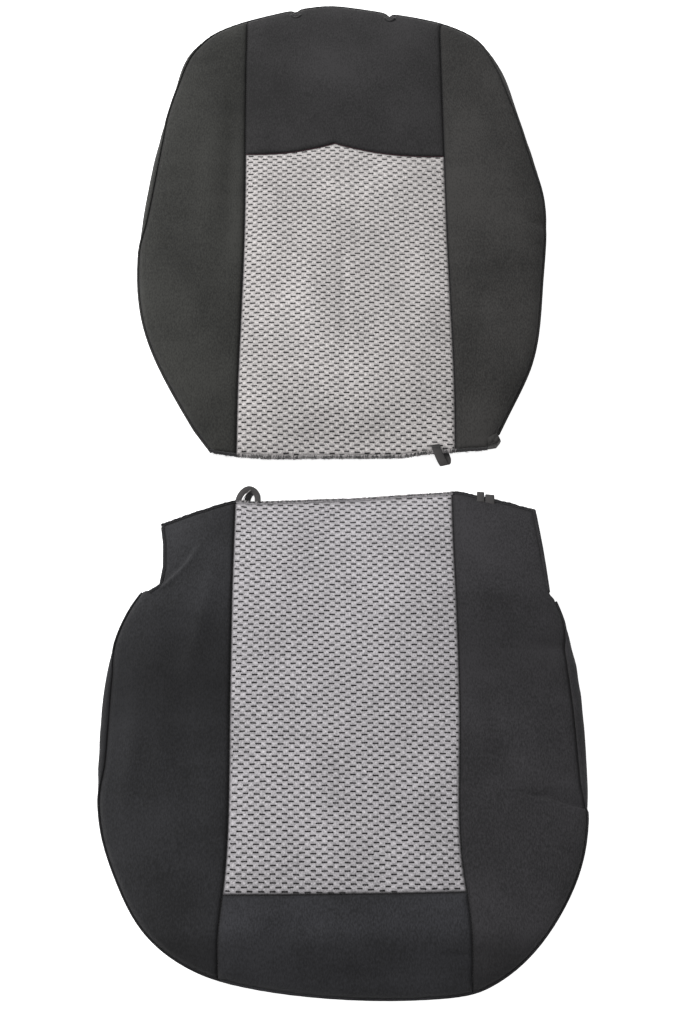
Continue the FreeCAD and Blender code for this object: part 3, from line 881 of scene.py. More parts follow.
def lining(name, *tint):
    """Brushed knit backing: a soft net of small loops."""
    knit = Shader(name, 0.92, sheen=0.25)
    loops = knit.cells(520, knit.scaled(1, 1.6, 1))
    fuzz = knit.noise(60, 4)
    level = knit.number("ADD", knit.number("MULTIPLY", loops, 0.5), knit.number("MULTIPLY", fuzz, 0.5))
    colour = knit.ramp(level, (0.25, shade(tint, 0.8)), (0.75, shade(tint, 1.18)))
    return knit.finish(colour, loops, 0.3 * MM, 0.6)


# One black knit and one grey jacquard make both covers. Their tints differ by place as painted light and
# shade: lighter on the backrest, darker on the base cover.
YOKE_CLOTH = black_cloth("yoke_cloth", 44, 43, 44)
BACK_LEFT_CLOTH = black_cloth("backrest_left_cloth", 48, 48, 46)
BACK_RIGHT_CLOTH = black_cloth("backrest_right_cloth", 50, 49, 48)
# painted shade: the base cover's panels are darker than the backrest's, its left panel and left side wall
# darkest
BASE_LEFT_CLOTH = black_cloth("base_left_cloth", 36, 36, 38)
SHADED_BASE_LEFT_SIDE = black_cloth("shaded_base_left_side_cloth", 25, 25, 27)
BASE_RIGHT_CLOTH = black_cloth("base_right_cloth", 42, 41, 43)
BASE_FRONT_CLOTH = black_cloth("base_front_cloth", 43, 43, 46)
SIDE_CLOTH = black_cloth("side_cloth", 46, 45, 46)
# painted shade: the seam allowances down in the slots between panels are near black
SHADED_ALLOWANCE_CLOTH = black_cloth("shaded_seam_allowance_cloth", 20, 19, 21)
BACK_JACQUARD = jacquard("backrest_jacquard", (178, 174, 173))
# painted shade: the base cover's jacquard is a darker copy of the backrest's
BASE_JACQUARD = jacquard("base_jacquard", (168, 165, 168))
DASH_YARN = thread("dash_yarn", 20, 17, 19, roughness=0.95)
BLACK_THREAD = thread("black_thread", 24, 23, 25)
RED_THREAD = thread("red_thread", 74, 16, 34)
OVERLOCK_THREAD = thread("overlock_thread", 48, 47, 50)
WEBBING = webbing("elastic_webbing", 66, 64, 64)
HEM_ELASTIC = webbing("hem_elastic", 60, 60, 62)
HEM_TAPE = lining("hem_tape", 52, 52, 54)
REAR_LINING = lining("rear_lining", 44, 44, 46)
FACE_LINING = lining("foam_lining", 84, 83, 84)
BINDING = thread("eyelet_binding", 17, 16, 18)


REAR_TUCK = 8.5 * MM        # how far the rear panel's end lies back under the open end
FLAP_EASE_X = np.array([-232, -180, -140, -115, -90, -15, 22, 60, 134, 153, 210, 232]) * MM
FLAP_EASE_Y = np.array([5.0, 7.0, 6.5, 2.5, 2.0, 1.4, 1.0, 2.4, 3.8, 7.0, 6.4, 4.0]) * MM


def laid(piece, body, bend):
    """The cloth does not lie quite flat and straight: the flap is drawn out towards its rear edge, the
    backrest is gathered into a notch beside each headrest opening, and its rear panel ends a little
    short of the open end."""
    count = len(piece.data.vertices)
    places = np.zeros(count * 3)
    piece.data.vertices.foreach_get("co", places)
    places = places.reshape(-1, 3)
    x, y = places[:, 0], places[:, 1]
    if body == "base_flap" or bend is FOLD_BEND:
        share = smoothstep((y - FOLD_Y) / (FLAP_REAR - FOLD_Y))
        places[:, 1] += share * np.interp(x, FLAP_EASE_X, FLAP_EASE_Y)
    if any(part in ("backrest_front", "headrest_opening") for part in (body, *(bend or ())[:2])):
        for post_x, post_y in POST_PLACES:
            share = np.exp(-np.abs(x - post_x) / (3.4 * MM)) * smoothstep((y - post_y + 12 * MM) / (10 * MM))
            places[:, 1] -= 5.4 * MM * share
            places[:, 2] -= 1.6 * MM * share * smoothstep((places[:, 2] - 12 * MM) / (12 * MM))
    if body == "backrest_rear":
        places[:, 1] += REAR_TUCK * smoothstep((MOUTH_Y + 70 * MM - y) / (70 * MM))
    piece.data.vertices.foreach_set("co", places.ravel())
    piece.data.update()


def finish_piece(piece, slot_name, nodes, body=None, bend=None):
    """Lays a piece unless it is an eyelet binding, hides the CAD nodes it stands in for, and parents it to its
    body's empty; a piece given a bend between two bodies has its transform baked in instead.
    """
    if slot_name != "eyelet_binding":
        laid(piece, body, bend)
    if nodes:
        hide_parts(*nodes)
    if bend is None:
        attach(piece, body)
    else:
        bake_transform(piece)
    return piece


FOLD_BEND = ("base_top", "base_flap", (0, FOLD_Y - 12 * MM, 0), (0, FOLD_Y + 12 * MM, 0))
SKIRT_BEND = ("base_skirt", "base_top", (0, 0, 4.4 * MM), (0, 0, 12.5 * MM))
REAR_BEND = ("backrest_rear", "headrest_opening", (0, 0, 3.4 * MM), (0, 0, 6.8 * MM))
FRONT_BEND = ("headrest_opening", "backrest_front", (0, 0, 8.8 * MM), (0, 0, 11.8 * MM))
STRIP_REAR_BEND = ("backrest_rear", "headrest_opening", (0, 0, 3.0 * MM), (0, 0, 4.4 * MM))
STRIP_FRONT_BEND = ("headrest_opening", "backrest_front", (0, 0, 18.6 * MM), (0, 0, 20.6 * MM))

# ------------------------------------------------------------------ face panels

finish_piece(
    panel("backrest_insert_cloth", RINGS["backrest_centre_insert"], back_height,
          [BACK_JACQUARD, FACE_LINING], 2.1 * MM, weave_back),
    "grey_jacquard", ["backrest_centre_insert"], "backrest_front")
finish_piece(
    panel("base_insert_cloth", BASE_INSERT, base_height, [BASE_JACQUARD, FACE_LINING], 2.2 * MM, weave_base),
    "grey_jacquard", ["base_centre_insert", "flap_centre_insert"], bend=FOLD_BEND)
for name, node, material in (
    ("backrest_yoke_cloth", "backrest_yoke", YOKE_CLOTH),
    ("backrest_left_cloth", "backrest_left_bolster", BACK_LEFT_CLOTH),
    ("backrest_right_cloth", "backrest_right_bolster", BACK_RIGHT_CLOTH),
):
    cloth = panel(name, RINGS[node], back_height, [material, FACE_LINING], 3.2 * MM, perimeter=BACK_PERIMETER)
    finish_piece(cloth, "black_cloth", [node], "backrest_front")
# The base cover's panels carry painted light and shade: the place and depth of a darker dip, and how much
# lighter the flap is.
finish_piece(
    panel("base_front_cloth", RINGS["base_front_panel"], base_height,
          [BASE_FRONT_CLOTH, FACE_LINING], 3.2 * MM, perimeter=BASE_PERIMETER, painted_light_shape=(0, 0, 0)),
    "black_cloth", ["base_front_panel"], "base_top")
finish_piece(
    panel("base_left_cloth", BASE_LEFT, base_height, [BASE_LEFT_CLOTH, FACE_LINING], 3.0 * MM,
          perimeter=BASE_PERIMETER, painted_light_shape=(-0.312, 0.21, 0.12)),
    "black_cloth", ["base_left_bolster", "flap_left_ear"], bend=FOLD_BEND)
finish_piece(
    panel("base_right_cloth", BASE_RIGHT, base_height, [BASE_RIGHT_CLOTH, FACE_LINING], 3.0 * MM,
          extra=resample(PLEAT_LINE, 1.5 * MM), perimeter=BASE_PERIMETER, painted_light_shape=(-0.262, 0.12, 0)),
    "black_cloth", ["base_right_bolster", "flap_right_ear"], bend=FOLD_BEND)

# ------------------------------------------------------------------ woven dashes

DASH_LENGTH = 6.9 * MM
DASH_STATIONS = np.array([-0.5, -0.42, -0.31, -0.2, -0.1, 0, 0.1, 0.2, 0.31, 0.42, 0.5])
DASH_HALF_WIDTHS = np.array([0.4, 1.2, 1.45, 1.05, 1.1, 1.3, 1.1, 1.05, 1.45, 1.2, 0.4]) * MM


def add_dash(verts, faces, line, widths, ground):
    """One low mound along a line: four rails, the outer two sunk into the cloth."""
    widths[[0, -1]] = np.minimum(widths[[0, -1]], 0.5 * MM)
    crest = 0.22 * MM + 0.12 * np.abs(widths - 0.6 * MM)
    start, count = len(verts), len(line)
    for share, lift in ((-1, -0.35 * MM), (-0.55, crest), (0.55, crest), (1, -0.35 * MM)):
        rail = line + np.column_stack([np.zeros(count), share * widths])
        verts.extend(np.column_stack([rail, ground + lift]))
    for r in range(3):
        for i in range(count - 1):
            a = start + r * count + i
            faces.append((a, a + 1, a + count + 1, a + count))
    last = start + count - 1
    faces.append((start, start + count, start + 2 * count, start + 3 * count))
    faces.append((last + 3 * count, last + 2 * count, last + count, last))
    bottom = [start + i for i in range(count)] + [start + 4 * count - 1 - i for i in range(count)]
    faces.append(tuple(reversed(bottom)))


def dashes(name, ring, height, weave, rows):
    """The dark dashes of the weave as low mounds of yarn, cut off where a seam takes them in."""
    low, high = ring.min(0), ring.max(0)
    us = np.arange(math.floor(low[0] / DASH_PITCH), math.ceil(high[0] / DASH_PITCH) + 1)
    vs = np.arange(math.floor(low[1] / rows) - 1, math.ceil(high[1] / rows) + 1)
    grid = [(u, v) for v in vs for u in us] + [(u + 0.5, v + 0.5) for v in vs for u in us]
    goal = np.array(grid)
    spot = goal * [DASH_PITCH, rows]
    for _ in range(6):
        u, v = weave(spot[:, 0], spot[:, 1])
        spot += (goal - np.stack([u, v], 1)) * [DASH_PITCH, rows]
    spot = spot[in_ring(spot, ring)]
    count = len(spot)
    stations = len(DASH_STATIONS)
    centre = spot + chance.normal(0, 0.22 * MM, (count, 2))
    length = DASH_LENGTH * chance.uniform(0.9, 1.08, (count, 1))
    tilt = chance.normal(0, 0.03, (count, 1))
    along = DASH_STATIONS * length
    lines = centre[:, None, :] + np.stack([along, along * tilt], 2)
    widths = DASH_HALF_WIDTHS * chance.uniform(0.82, 1.15, (count, stations))
    flat = lines.reshape(-1, 2)
    rim = closed(resample(closed(ring), 6 * MM)[:-1])
    clear = in_ring(flat, ring) & (nearest(flat, rim)[0] > 1.3 * MM)
    keeps = clear.reshape(count, stations)
    grounds = height(flat[:, 0], flat[:, 1]).reshape(count, stations)
    verts, faces = [], []
    for line, width, keep, ground in zip(lines, widths, keeps, grounds):
        if keep.sum() >= 4:
            add_dash(verts, faces, line[keep], width[keep], ground[keep])
    return new_piece(name, verts, faces, [DASH_YARN])


def insert_face(height, weave, ring):
    """The finished face of an insert, with its puffs, for things that lie on it."""
    rim = closed(resample(closed(ring), 8 * MM)[:-1])

    def face(x, y):
        away = nearest(np.stack([x, y], 1), rim)[0]
        u, v = weave(x, y)
        return height(x, y) + crown(away) + 0.32 * MM * puff(u, v) * smoothstep(away / (4 * MM))
    return face


finish_piece(
    dashes("backrest_insert_dashes", RINGS["backrest_centre_insert"],
           insert_face(back_height, weave_back, RINGS["backrest_centre_insert"]), weave_back, BACK_ROWS),
    "grey_jacquard", [], "backrest_front")
finish_piece(
    dashes("base_insert_dashes", BASE_INSERT, insert_face(base_height, weave_base, BASE_INSERT), weave_base,
           BASE_ROWS),
    "grey_jacquard", [], bend=FOLD_BEND)

# ------------------------------------------------------------------ seams

def raised(path, height, lift):
    """A plan path laid on a face and lifted by a distance."""
    return np.column_stack([path, height(path[:, 0], path[:, 1]) + lift])


def seam(name, path, height, thread_material, bends, nodes, pitch=3.3 * MM, drop=2.3 * MM):
    """What shows down in the slot between two panels: folded cloth edges and the stitches that hold them."""
    rolled = isinstance(path, Perimeter)
    if rolled:
        path = np.column_stack([path.line, height(path.flat[:, 0], path.flat[:, 1]) - drop - path.sink])
    else:
        path = raised(resample(path, 4 * MM), height, -drop)
    bed = tape(path - [0, 0, 0.7 * MM], 5.2 * MM, 1.6 * MM)
    # down in a slot the allowance takes the near-black cloth as painted shade; a rolled perimeter seam takes
    # the side cloth
    allowance = new_piece(name + "_allowance", *bed, [SIDE_CLOTH if rolled else SHADED_ALLOWANCE_CLOTH])
    finish_piece(allowance, "black_cloth", [], **bends)
    row = stitches(path + [0, 0, 0.25 * MM], pitch, pitch * 0.84, 0.3 * MM)
    slot_name = "red_thread" if thread_material is RED_THREAD else "black_thread"
    finish_piece(new_piece(name + "_stitches", *row, [thread_material]), slot_name, nodes, **bends)


ON_BACK_FRONT = {"body": "backrest_front"}
ON_BASE_TOP = {"body": "base_top"}
OVER_FOLD = {"bend": FOLD_BEND}


seam("backrest_left_seam_row", BACK_LEFT_SEAM + [0.6 * MM, 0], back_height, BLACK_THREAD, ON_BACK_FRONT,
     ["backrest_left_seam"])
seam("backrest_right_seam_row", BACK_RIGHT_SEAM - [0.6 * MM, 0], back_height, BLACK_THREAD, ON_BACK_FRONT,
     ["backrest_right_seam"])
seam("backrest_yoke_seam_row", YOKE_SEAM - [0, 0.6 * MM], back_height, RED_THREAD, ON_BACK_FRONT,
     ["backrest_yoke_seam"], drop=1.7 * MM)
seam("base_left_seam_row", BASE_LEFT_SEAM + [0.6 * MM, 0], base_height, BLACK_THREAD, OVER_FOLD,
     ["base_left_seam", "flap_left_seam"])
seam("base_right_seam_row", BASE_RIGHT_SEAM - [0.6 * MM, 0], base_height, BLACK_THREAD, OVER_FOLD,
     ["base_right_seam", "flap_right_seam"])
seam("base_front_seam_row", FRONT_SEAM + [0, 0.6 * MM], base_height, BLACK_THREAD, ON_BASE_TOP,
     ["base_front_seam"])
seam("backrest_perimeter_seam_row", BACK_PERIMETER, back_height, BLACK_THREAD, ON_BACK_FRONT,
     ["backrest_perimeter_seam"], drop=1.6 * MM)
seam("base_perimeter_seam_row", BASE_PERIMETER, base_height, BLACK_THREAD, ON_BASE_TOP,
     ["base_perimeter_seam"], drop=1.6 * MM)

# ------------------------------------------------------------------ side gussets

def slab(grid, thickness, hole=None):
    """A closed skin: a grid of places (rows, columns, 3) and the same grid set back along its normals.
    Cells marked as hole are left out."""
    rows, columns = grid.shape[:2]
    normal = np.cross(np.gradient(grid, axis=1), np.gradient(grid, axis=0))
    normal /= np.linalg.norm(normal, axis=2)[..., None] + 1e-12
    verts = np.vstack([grid.reshape(-1, 3), (grid - normal * thickness).reshape(-1, 3)])
    back = rows * columns
    front = []
    for i in range(rows - 1):
        for j in range(columns - 1):
            if hole is None or not hole[i, j]:
                a = i * columns + j
                front.append((a, a + 1, a + columns + 1, a + columns))
    faces = front + [tuple(v + back for v in reversed(f)) for f in front]
    edges = {(a, b) for f in front for a, b in zip(f, f[1:] + f[:1])}
    faces += [(b, a, a + back, b + back) for a, b in sorted(edges) if (b, a) not in edges]
    return verts, faces


PUCKER = 0.5 * MM
WALL_TOP_LEAST = 12.6 * MM      # the least height of a wall's top


def wall_grid(perimeter, part, height, low, levels, level_row=None):
    """Places on the side wall from the perimeter seam, round the bulge, down to its lower edge.
    Levels are shares of the way down, from 0 at the seam to 1. The level row is a share and the one
    height all its places have."""
    row_share, row_z = level_row or (1.0, low)
    flat, seam_line, edge_line = perimeter.flat[part], perimeter.line[part], perimeter.edge[part]
    tuck = perimeter.foot[part] - edge_line
    top = np.maximum(height(flat[:, 0], flat[:, 1]) - 0.9 * MM - perimeter.sink[part], WALL_TOP_LEAST)
    out = edge_line - seam_line
    reach = np.linalg.norm(out, axis=1)
    along = distance_along(edge_line)
    rows = []
    for s in levels:
        bulge = 1 - (1 - min(s / 0.42, 1.0)) ** 2.2
        bulge -= 0.22 * max(0.0, (s - 0.6) / 0.4) ** 2 * np.minimum(1, 4 * MM / (reach + 1e-6))
        fold = np.sin(along * 105 + 2.4 * np.sin(along * 31)) * np.sin(along * 17 + s * 2)
        ripple = PUCKER * fold * math.sin(math.pi * min(s * 1.05, 1.0))
        share = bulge + ripple / (reach + 3 * MM)
        if s <= row_share:
            z = top + (row_z - top) * (s / row_share)
        else:
            z = np.full(len(top), row_z + (low - row_z) * (s - row_share) / (1 - row_share))
        under = smoothstep((s - 0.5) / 0.5)
        rows.append(np.column_stack([seam_line + out * share[:, None] + tuck * under, z]))
    return np.array(rows)


def levels_for(height_top, low, bends, count=9):
    """Shares of the way down a wall, with extra rows where it bends between two bodies."""
    levels = set(np.round(np.linspace(0, 1, count), 4))
    for _, _, bend_start, bend_end in bends:
        for z in np.linspace(bend_start[2], bend_end[2], 7):
            share = (height_top - z) / (height_top - low)
            if 0 < share < 1:
                levels.add(round(float(share), 4))
    return sorted(levels)


def stretch(test):
    """The part of a path for which a test holds, with one more place at either end."""
    keep = np.flatnonzero(test)
    return slice(max(keep[0] - 1, 0), keep[-1] + 2)


front_low, front_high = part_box("base_front_gusset")
BASE_WALL_TOP = BACK_WALL_TOP = LAID_TOP - 5 * MM
BASE_WALL_LOW = 3.6 * MM
skirt_levels = levels_for(BASE_WALL_TOP, BASE_WALL_LOW, [SKIRT_BEND], 13)
x, y = BASE_EDGE[:, 0], BASE_EDGE[:, 1]
for name, node, test, material in (
    ("base_left_side", "base_left_gusset", (x < front_low.x) & (y > -1), SHADED_BASE_LEFT_SIDE),
    ("base_front_side", "base_front_gusset", (x >= front_low.x) & (x <= front_high.x), BASE_FRONT_CLOTH),
    ("base_right_side", "base_right_gusset", x > front_high.x, BASE_RIGHT_CLOTH),
):
    part = stretch(test)
    grid = wall_grid(BASE_PERIMETER, part, base_height, BASE_WALL_LOW, skirt_levels)
    piece = new_piece(name, *slab(grid, 1.6 * MM), [material])
    finish_piece(piece, "gusset_cloth", [node], bend=SKIRT_BEND)

# The backrest's wall is in two heights, because it bends twice: below and above the headrest band.
x, y = BACK_EDGE[:, 0], BACK_EDGE[:, 1]
top_low, top_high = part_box("backrest_top_gusset")
band_low, band_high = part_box("headrest_band")
HALF_WAY = 7.8 * MM
BACK_WALL_LOW = 2.6 * MM
HALF_WAY_ROW = ((BACK_WALL_TOP - HALF_WAY) / (BACK_WALL_TOP - BACK_WALL_LOW), HALF_WAY)
upper = y > 0.4


def along_top(low, high):
    """Which places of the backrest's edge lie at its top, between two x."""
    return upper & (x >= low.x) & (x <= high.x)


SIDES = (
    ("backrest_right", "backrest_right_gusset", (x > top_high.x) | ((x > 0) & ~upper), BACK_RIGHT_CLOTH, True),
    ("backrest_top_right", "backrest_top_gusset", along_top(band_high, top_high), SIDE_CLOTH, True),
    ("headrest_strip", "backrest_top_gusset", along_top(band_low, band_high), SIDE_CLOTH, False),
    ("backrest_top_left", "backrest_top_gusset", along_top(top_low, band_low), SIDE_CLOTH, True),
    ("backrest_left", "backrest_left_gusset", (x < top_low.x) | ((x < 0) & ~upper), BACK_LEFT_CLOTH, True),
)


def cut_levels(levels, top, low, z, above):
    share = (top - z) / (top - low)
    inner = [s for s in levels if (s < share) == above and abs(s - share) > 0.01]
    return sorted(inner + [share])


def with_post_openings(grid):
    """The strip with finer columns, and its cells that lie in a headrest opening."""
    columns = grid.shape[1]
    fine = np.linspace(0, columns - 1, columns * 3)
    grid = np.array([
        np.stack([np.interp(fine, np.arange(columns), row[:, k]) for k in range(3)], 1) for row in grid
    ])
    centre = (grid[:-1, :-1] + grid[1:, 1:]) / 2
    hole = np.zeros(centre.shape[:2], bool)
    for x, _ in POST_PLACES:
        hole |= np.hypot(centre[..., 0] - x, centre[..., 2] - 12 * MM) < 6.2 * MM
    return grid, hole


for name, node, test, material, plain in SIDES:
    part = stretch(test)
    bends = (REAR_BEND, FRONT_BEND) if plain else (STRIP_REAR_BEND, STRIP_FRONT_BEND)
    levels = levels_for(BACK_WALL_TOP, BACK_WALL_LOW, bends, 15 if plain else 19)
    for suffix, above, bend in (("_rear", False, bends[0]), ("_front", True, bends[1])):
        shares = cut_levels(levels, BACK_WALL_TOP, BACK_WALL_LOW, HALF_WAY, above)
        grid = wall_grid(BACK_PERIMETER, part, back_height, BACK_WALL_LOW, shares, HALF_WAY_ROW)
        hole = None
        if not plain:
            grid, hole = with_post_openings(grid)
        piece = new_piece(name + suffix, *slab(grid, 1.4 * MM, hole), [material])
        finish_piece(piece, "gusset_cloth", [node], bend=bend)

# ------------------------------------------------------------------ raw edges, hems and the backs

def band_edge(node, far, axis, stops=None):
    """The near (far=False) or far edge of a CAD band that runs along X (axis 0) or Y (axis 1)."""
    ring = face_ring(node)
    across = 1 - axis
    if stops is None:
        stops = np.linspace(ring[:, axis].min() + 0.3 * MM, ring[:, axis].max() - 0.5 * MM, 30)
    line = []
    for stop in stops:
        crossings = []
        for a, b in zip(ring, np.roll(ring, -1, axis=0)):
            if a[axis] != b[axis] and min(a[axis], b[axis]) <= stop <= max(a[axis], b[axis]):
                crossings.append(a[across] + (b[across] - a[across]) * (stop - a[axis]) / (b[axis] - a[axis]))
        line.append(max(crossings) if far else min(crossings))
    return np.column_stack((stops, line) if axis == 0 else (line, stops))


def overlock(name, line, outward, height, cloth, threads, body, nodes, ragged=0.35 * MM, thickness=CLOTH,
             depth=3.2 * MM):
    """A raw edge: a strip of the cloth up to the edge, and thread looped over it at every stitch.
    With several threads the loops are shared out among them."""
    line = resample(line, 1.3 * MM)
    wobble = chance.normal(0, ragged, len(line))
    wobble = np.convolve(np.pad(wobble, 1, mode="edge"), [0.25, 0.5, 0.25], mode="valid")
    rim = line + np.outer(wobble, outward)
    middle = rim - 2.0 * MM * outward
    ground = height(middle[:, 0], middle[:, 1]) - 0.5 * MM
    centre = np.column_stack([middle, ground - thickness / 2])
    strip = new_piece(name + "_strip", *tape(centre, 4.2 * MM, thickness), [cloth])
    strip_slot = "grey_jacquard" if cloth in (BACK_JACQUARD, BASE_JACQUARD) else "black_cloth"
    finish_piece(strip, strip_slot, [], **body)
    parts = [[] for _ in threads]
    angles = np.arange(5) * math.tau / 5
    circle = np.stack([np.cos(angles), np.sin(angles)], 1) * (0.30 if len(threads) == 1 else 0.42) * MM
    out3 = np.array([outward[0], outward[1], 0.0])
    side3 = np.array([-outward[1], outward[0], 0.0])
    thread_now = 0
    for place, low in zip(rim, ground):
        if chance.random() < 0.8:
            thread_now = chance.integers(len(threads))
        reach = chance.uniform(0.8, 1.2) * depth
        lean = chance.uniform(0.2, 1.3) * MM
        tip = chance.uniform(0.1, 0.7) * MM + ragged * (len(threads) - 1) * chance.uniform(0, 2.2)
        base = np.array([place[0], place[1], low])
        path = np.array([
            base - out3 * reach + side3 * lean + [0, 0, 0.15 * MM],
            base - out3 * reach * 0.45 + side3 * lean * 0.5 + [0, 0, 0.42 * MM],
            base + out3 * tip - [0, 0, 0.3 * thickness],
            base + out3 * tip * 0.6 - [0, 0, 0.8 * thickness],
            base - out3 * reach * 0.6 - side3 * lean * 0.4 - [0, 0, thickness + 0.1 * MM],
        ])
        tangent = np.gradient(path, axis=0)
        tangent /= np.linalg.norm(tangent, axis=1)[:, None]
        up = np.cross(side3, tangent)
        parts[thread_now].append(sweep(path, [(side3, u) for u in up], [circle] * len(path)))
    for offset in (-3.0 * MM, -0.4 * MM) if len(threads) == 1 else ():
        run = np.column_stack([rim + offset * outward, ground + 0.35 * MM])
        run[:, :2] += chance.normal(0, 0.18 * MM, (len(run), 2))
        tangent, across = directions(run)
        parts[0].append(sweep(run, list(zip(across, np.cross(tangent, across))), [circle * 0.9] * len(run)))
    for k, (material, part) in enumerate(zip(threads, parts)):
        loops = new_piece(f"{name}_thread_{k + 1}", *merge(part), [material])
        finish_piece(loops, "overlock_thread", nodes, **body)


def fringe(name, line, outward, height, material, count, body, longest=2.6 * MM):
    """Loose ends of yarn that stand out of a raw edge."""
    places = resample(line, 0.5 * MM)
    parts = []
    triangle = np.array([(1, 0), (-0.5, 0.87), (-0.5, -0.87)]) * 0.22 * MM
    for place in places[chance.choice(len(places), count)]:
        turn = chance.normal(0, 0.7)
        way = np.array([
            outward[0] * math.cos(turn) - outward[1] * math.sin(turn),
            outward[0] * math.sin(turn) + outward[1] * math.cos(turn), chance.normal(-0.15, 0.35)])
        length = chance.uniform(0.8 * MM, longest)
        z = float(height(place[:1], place[1:])[0]) - chance.uniform(-0.1, 2.2) * MM
        root = np.array([place[0], place[1], z]) - way * 1.6 * MM
        path = np.array([root, root + way * (1.6 * MM + length * 0.5), root + way * (1.6 * MM + length)])
        path[2, 2] -= 0.3 * MM
        side = np.cross(way, [0, 0, 1.0])
        side /= np.linalg.norm(side)
        up = np.cross(side, way)
        parts.append(sweep(path, [(side, up)] * 3, [triangle, triangle * 0.9, triangle * 0.4]))
    piece = new_piece(name, *merge(parts), [material])
    finish_piece(piece, "overlock_thread", [], **body)


LIGHT_YARN = thread("light_yarn", 168, 164, 164)
INSERT_THREADS = [OVERLOCK_THREAD, LIGHT_YARN, BLACK_THREAD]
SEAM_LEFT_X, SEAM_RIGHT_X = -133.5 * MM, 143.0 * MM
mouth_low, mouth_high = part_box("backrest_front_overlock")
TOWARDS = np.array([0.0, -1.0])
AWAY = np.array([0.0, 1.0])
for name, x0, x1, cloth in (
    ("backrest_mouth_left", mouth_low.x + 1 * MM, SEAM_LEFT_X, BACK_LEFT_CLOTH),
    ("backrest_mouth_insert", SEAM_LEFT_X, SEAM_RIGHT_X, BACK_JACQUARD),
    ("backrest_mouth_right", SEAM_RIGHT_X, mouth_high.x - 1 * MM, BACK_RIGHT_CLOTH),
):
    line = band_edge("backrest_front_overlock", False, 0, np.linspace(x0, x1, 24))
    if x1 == SEAM_LEFT_X:
        line = np.vstack([line[0] + [-4.2 * MM, 0.6 * MM], line])
    nodes = ["backrest_front_overlock"] if name == "backrest_mouth_insert" else []
    threads = INSERT_THREADS if nodes else [OVERLOCK_THREAD]
    overlock(name, line, TOWARDS, back_height, cloth, threads, ON_BACK_FRONT, nodes)
    if nodes:
        fringe("backrest_mouth_light_ends", line, TOWARDS, back_height, LIGHT_YARN, 420, ON_BACK_FRONT)
        fringe("backrest_mouth_dark_ends", line, TOWARDS, back_height, BLACK_THREAD, 420, ON_BACK_FRONT)
    else:
        fringe(name + "_ends", line, TOWARDS, back_height, BLACK_THREAD, 40, ON_BACK_FRONT)

flap_low, flap_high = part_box("flap_rear_overlock")
ON_FLAP = {"body": "base_flap"}
for name, x0, x1, cloth in (
    ("flap_rear_left", flap_low.x + 1 * MM, -134.5 * MM, BASE_LEFT_CLOTH),
    ("flap_rear_insert", -134.5 * MM, 140 * MM, BASE_JACQUARD),
    ("flap_rear_right", 140 * MM, flap_high.x - 1 * MM, BASE_RIGHT_CLOTH),
):
    line = band_edge("flap_rear_overlock", True, 0, np.linspace(x0, x1, 24))
    nodes = ["flap_rear_overlock"] if name == "flap_rear_insert" else []
    threads = [LIGHT_YARN, OVERLOCK_THREAD] if nodes else [OVERLOCK_THREAD]
    overlock(name, line, AWAY, base_height, cloth, threads, ON_FLAP, nodes, depth=1.9 * MM)
    if nodes:
        fringe("flap_rear_light_ends", line, AWAY, base_height, LIGHT_YARN, 220, ON_FLAP, 1.8 * MM)
        fringe("flap_rear_dark_ends", line, AWAY, base_height, BLACK_THREAD, 320, ON_FLAP, 1.8 * MM)


for name, node, far, cloth in (
    ("left_ear", "flap_left_hem", False, BASE_LEFT_CLOTH),
    ("right_ear", "flap_right_hem", True, BASE_RIGHT_CLOTH),
):
    line = band_edge(node, far, 1)
    inward = -1 if far else 1
    middle = line + [inward * 2.2 * MM, 0]
    z = base_height(middle[:, 0], middle[:, 1])
    band = tape(np.column_stack([middle, z - 1.7 * MM]), 4.6 * MM, CLOTH + 0.3 * MM)
    finish_piece(new_piece(name + "_hem", *band, [cloth]), "black_cloth", [node], **ON_FLAP)
    stitch_line = np.column_stack([line + [inward * 3.9 * MM, 0], z - 0.35 * MM])
    row = stitches(stitch_line, 3.2 * MM, 2.6 * MM, 0.26 * MM)
    finish_piece(new_piece(name + "_hem_stitches", *row, [BLACK_THREAD]), "black_thread", [], **ON_FLAP)

# The backrest's rear panel, with its own overlocked end.
ON_REAR = {"body": "backrest_rear"}


def rear_height(x, y):
    """Height of the rear panel's inner side: it lies on the floor with faint waves."""
    return CLOTH + 0.25 * MM + 0.22 * MM * np.sin(x * 31 + 2 * np.sin(y * 14)) * np.sin(y * 23)


rear = panel("backrest_rear_cloth", RINGS["backrest_rear_panel"], rear_height,
             [FACE_LINING, REAR_LINING], 6 * MM)
finish_piece(rear, "rear_cloth", ["backrest_rear_panel"], **ON_REAR)
rear_low, rear_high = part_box("backrest_rear_overlock")
stops = np.linspace(rear_low.x + 1 * MM, rear_high.x - 1 * MM, 40)
line = band_edge("backrest_rear_overlock", False, 0, stops)
overlock("backrest_rear_edge", line, TOWARDS, rear_height, REAR_LINING, [OVERLOCK_THREAD], ON_REAR,
         ["backrest_rear_overlock"], thickness=1.9 * MM)

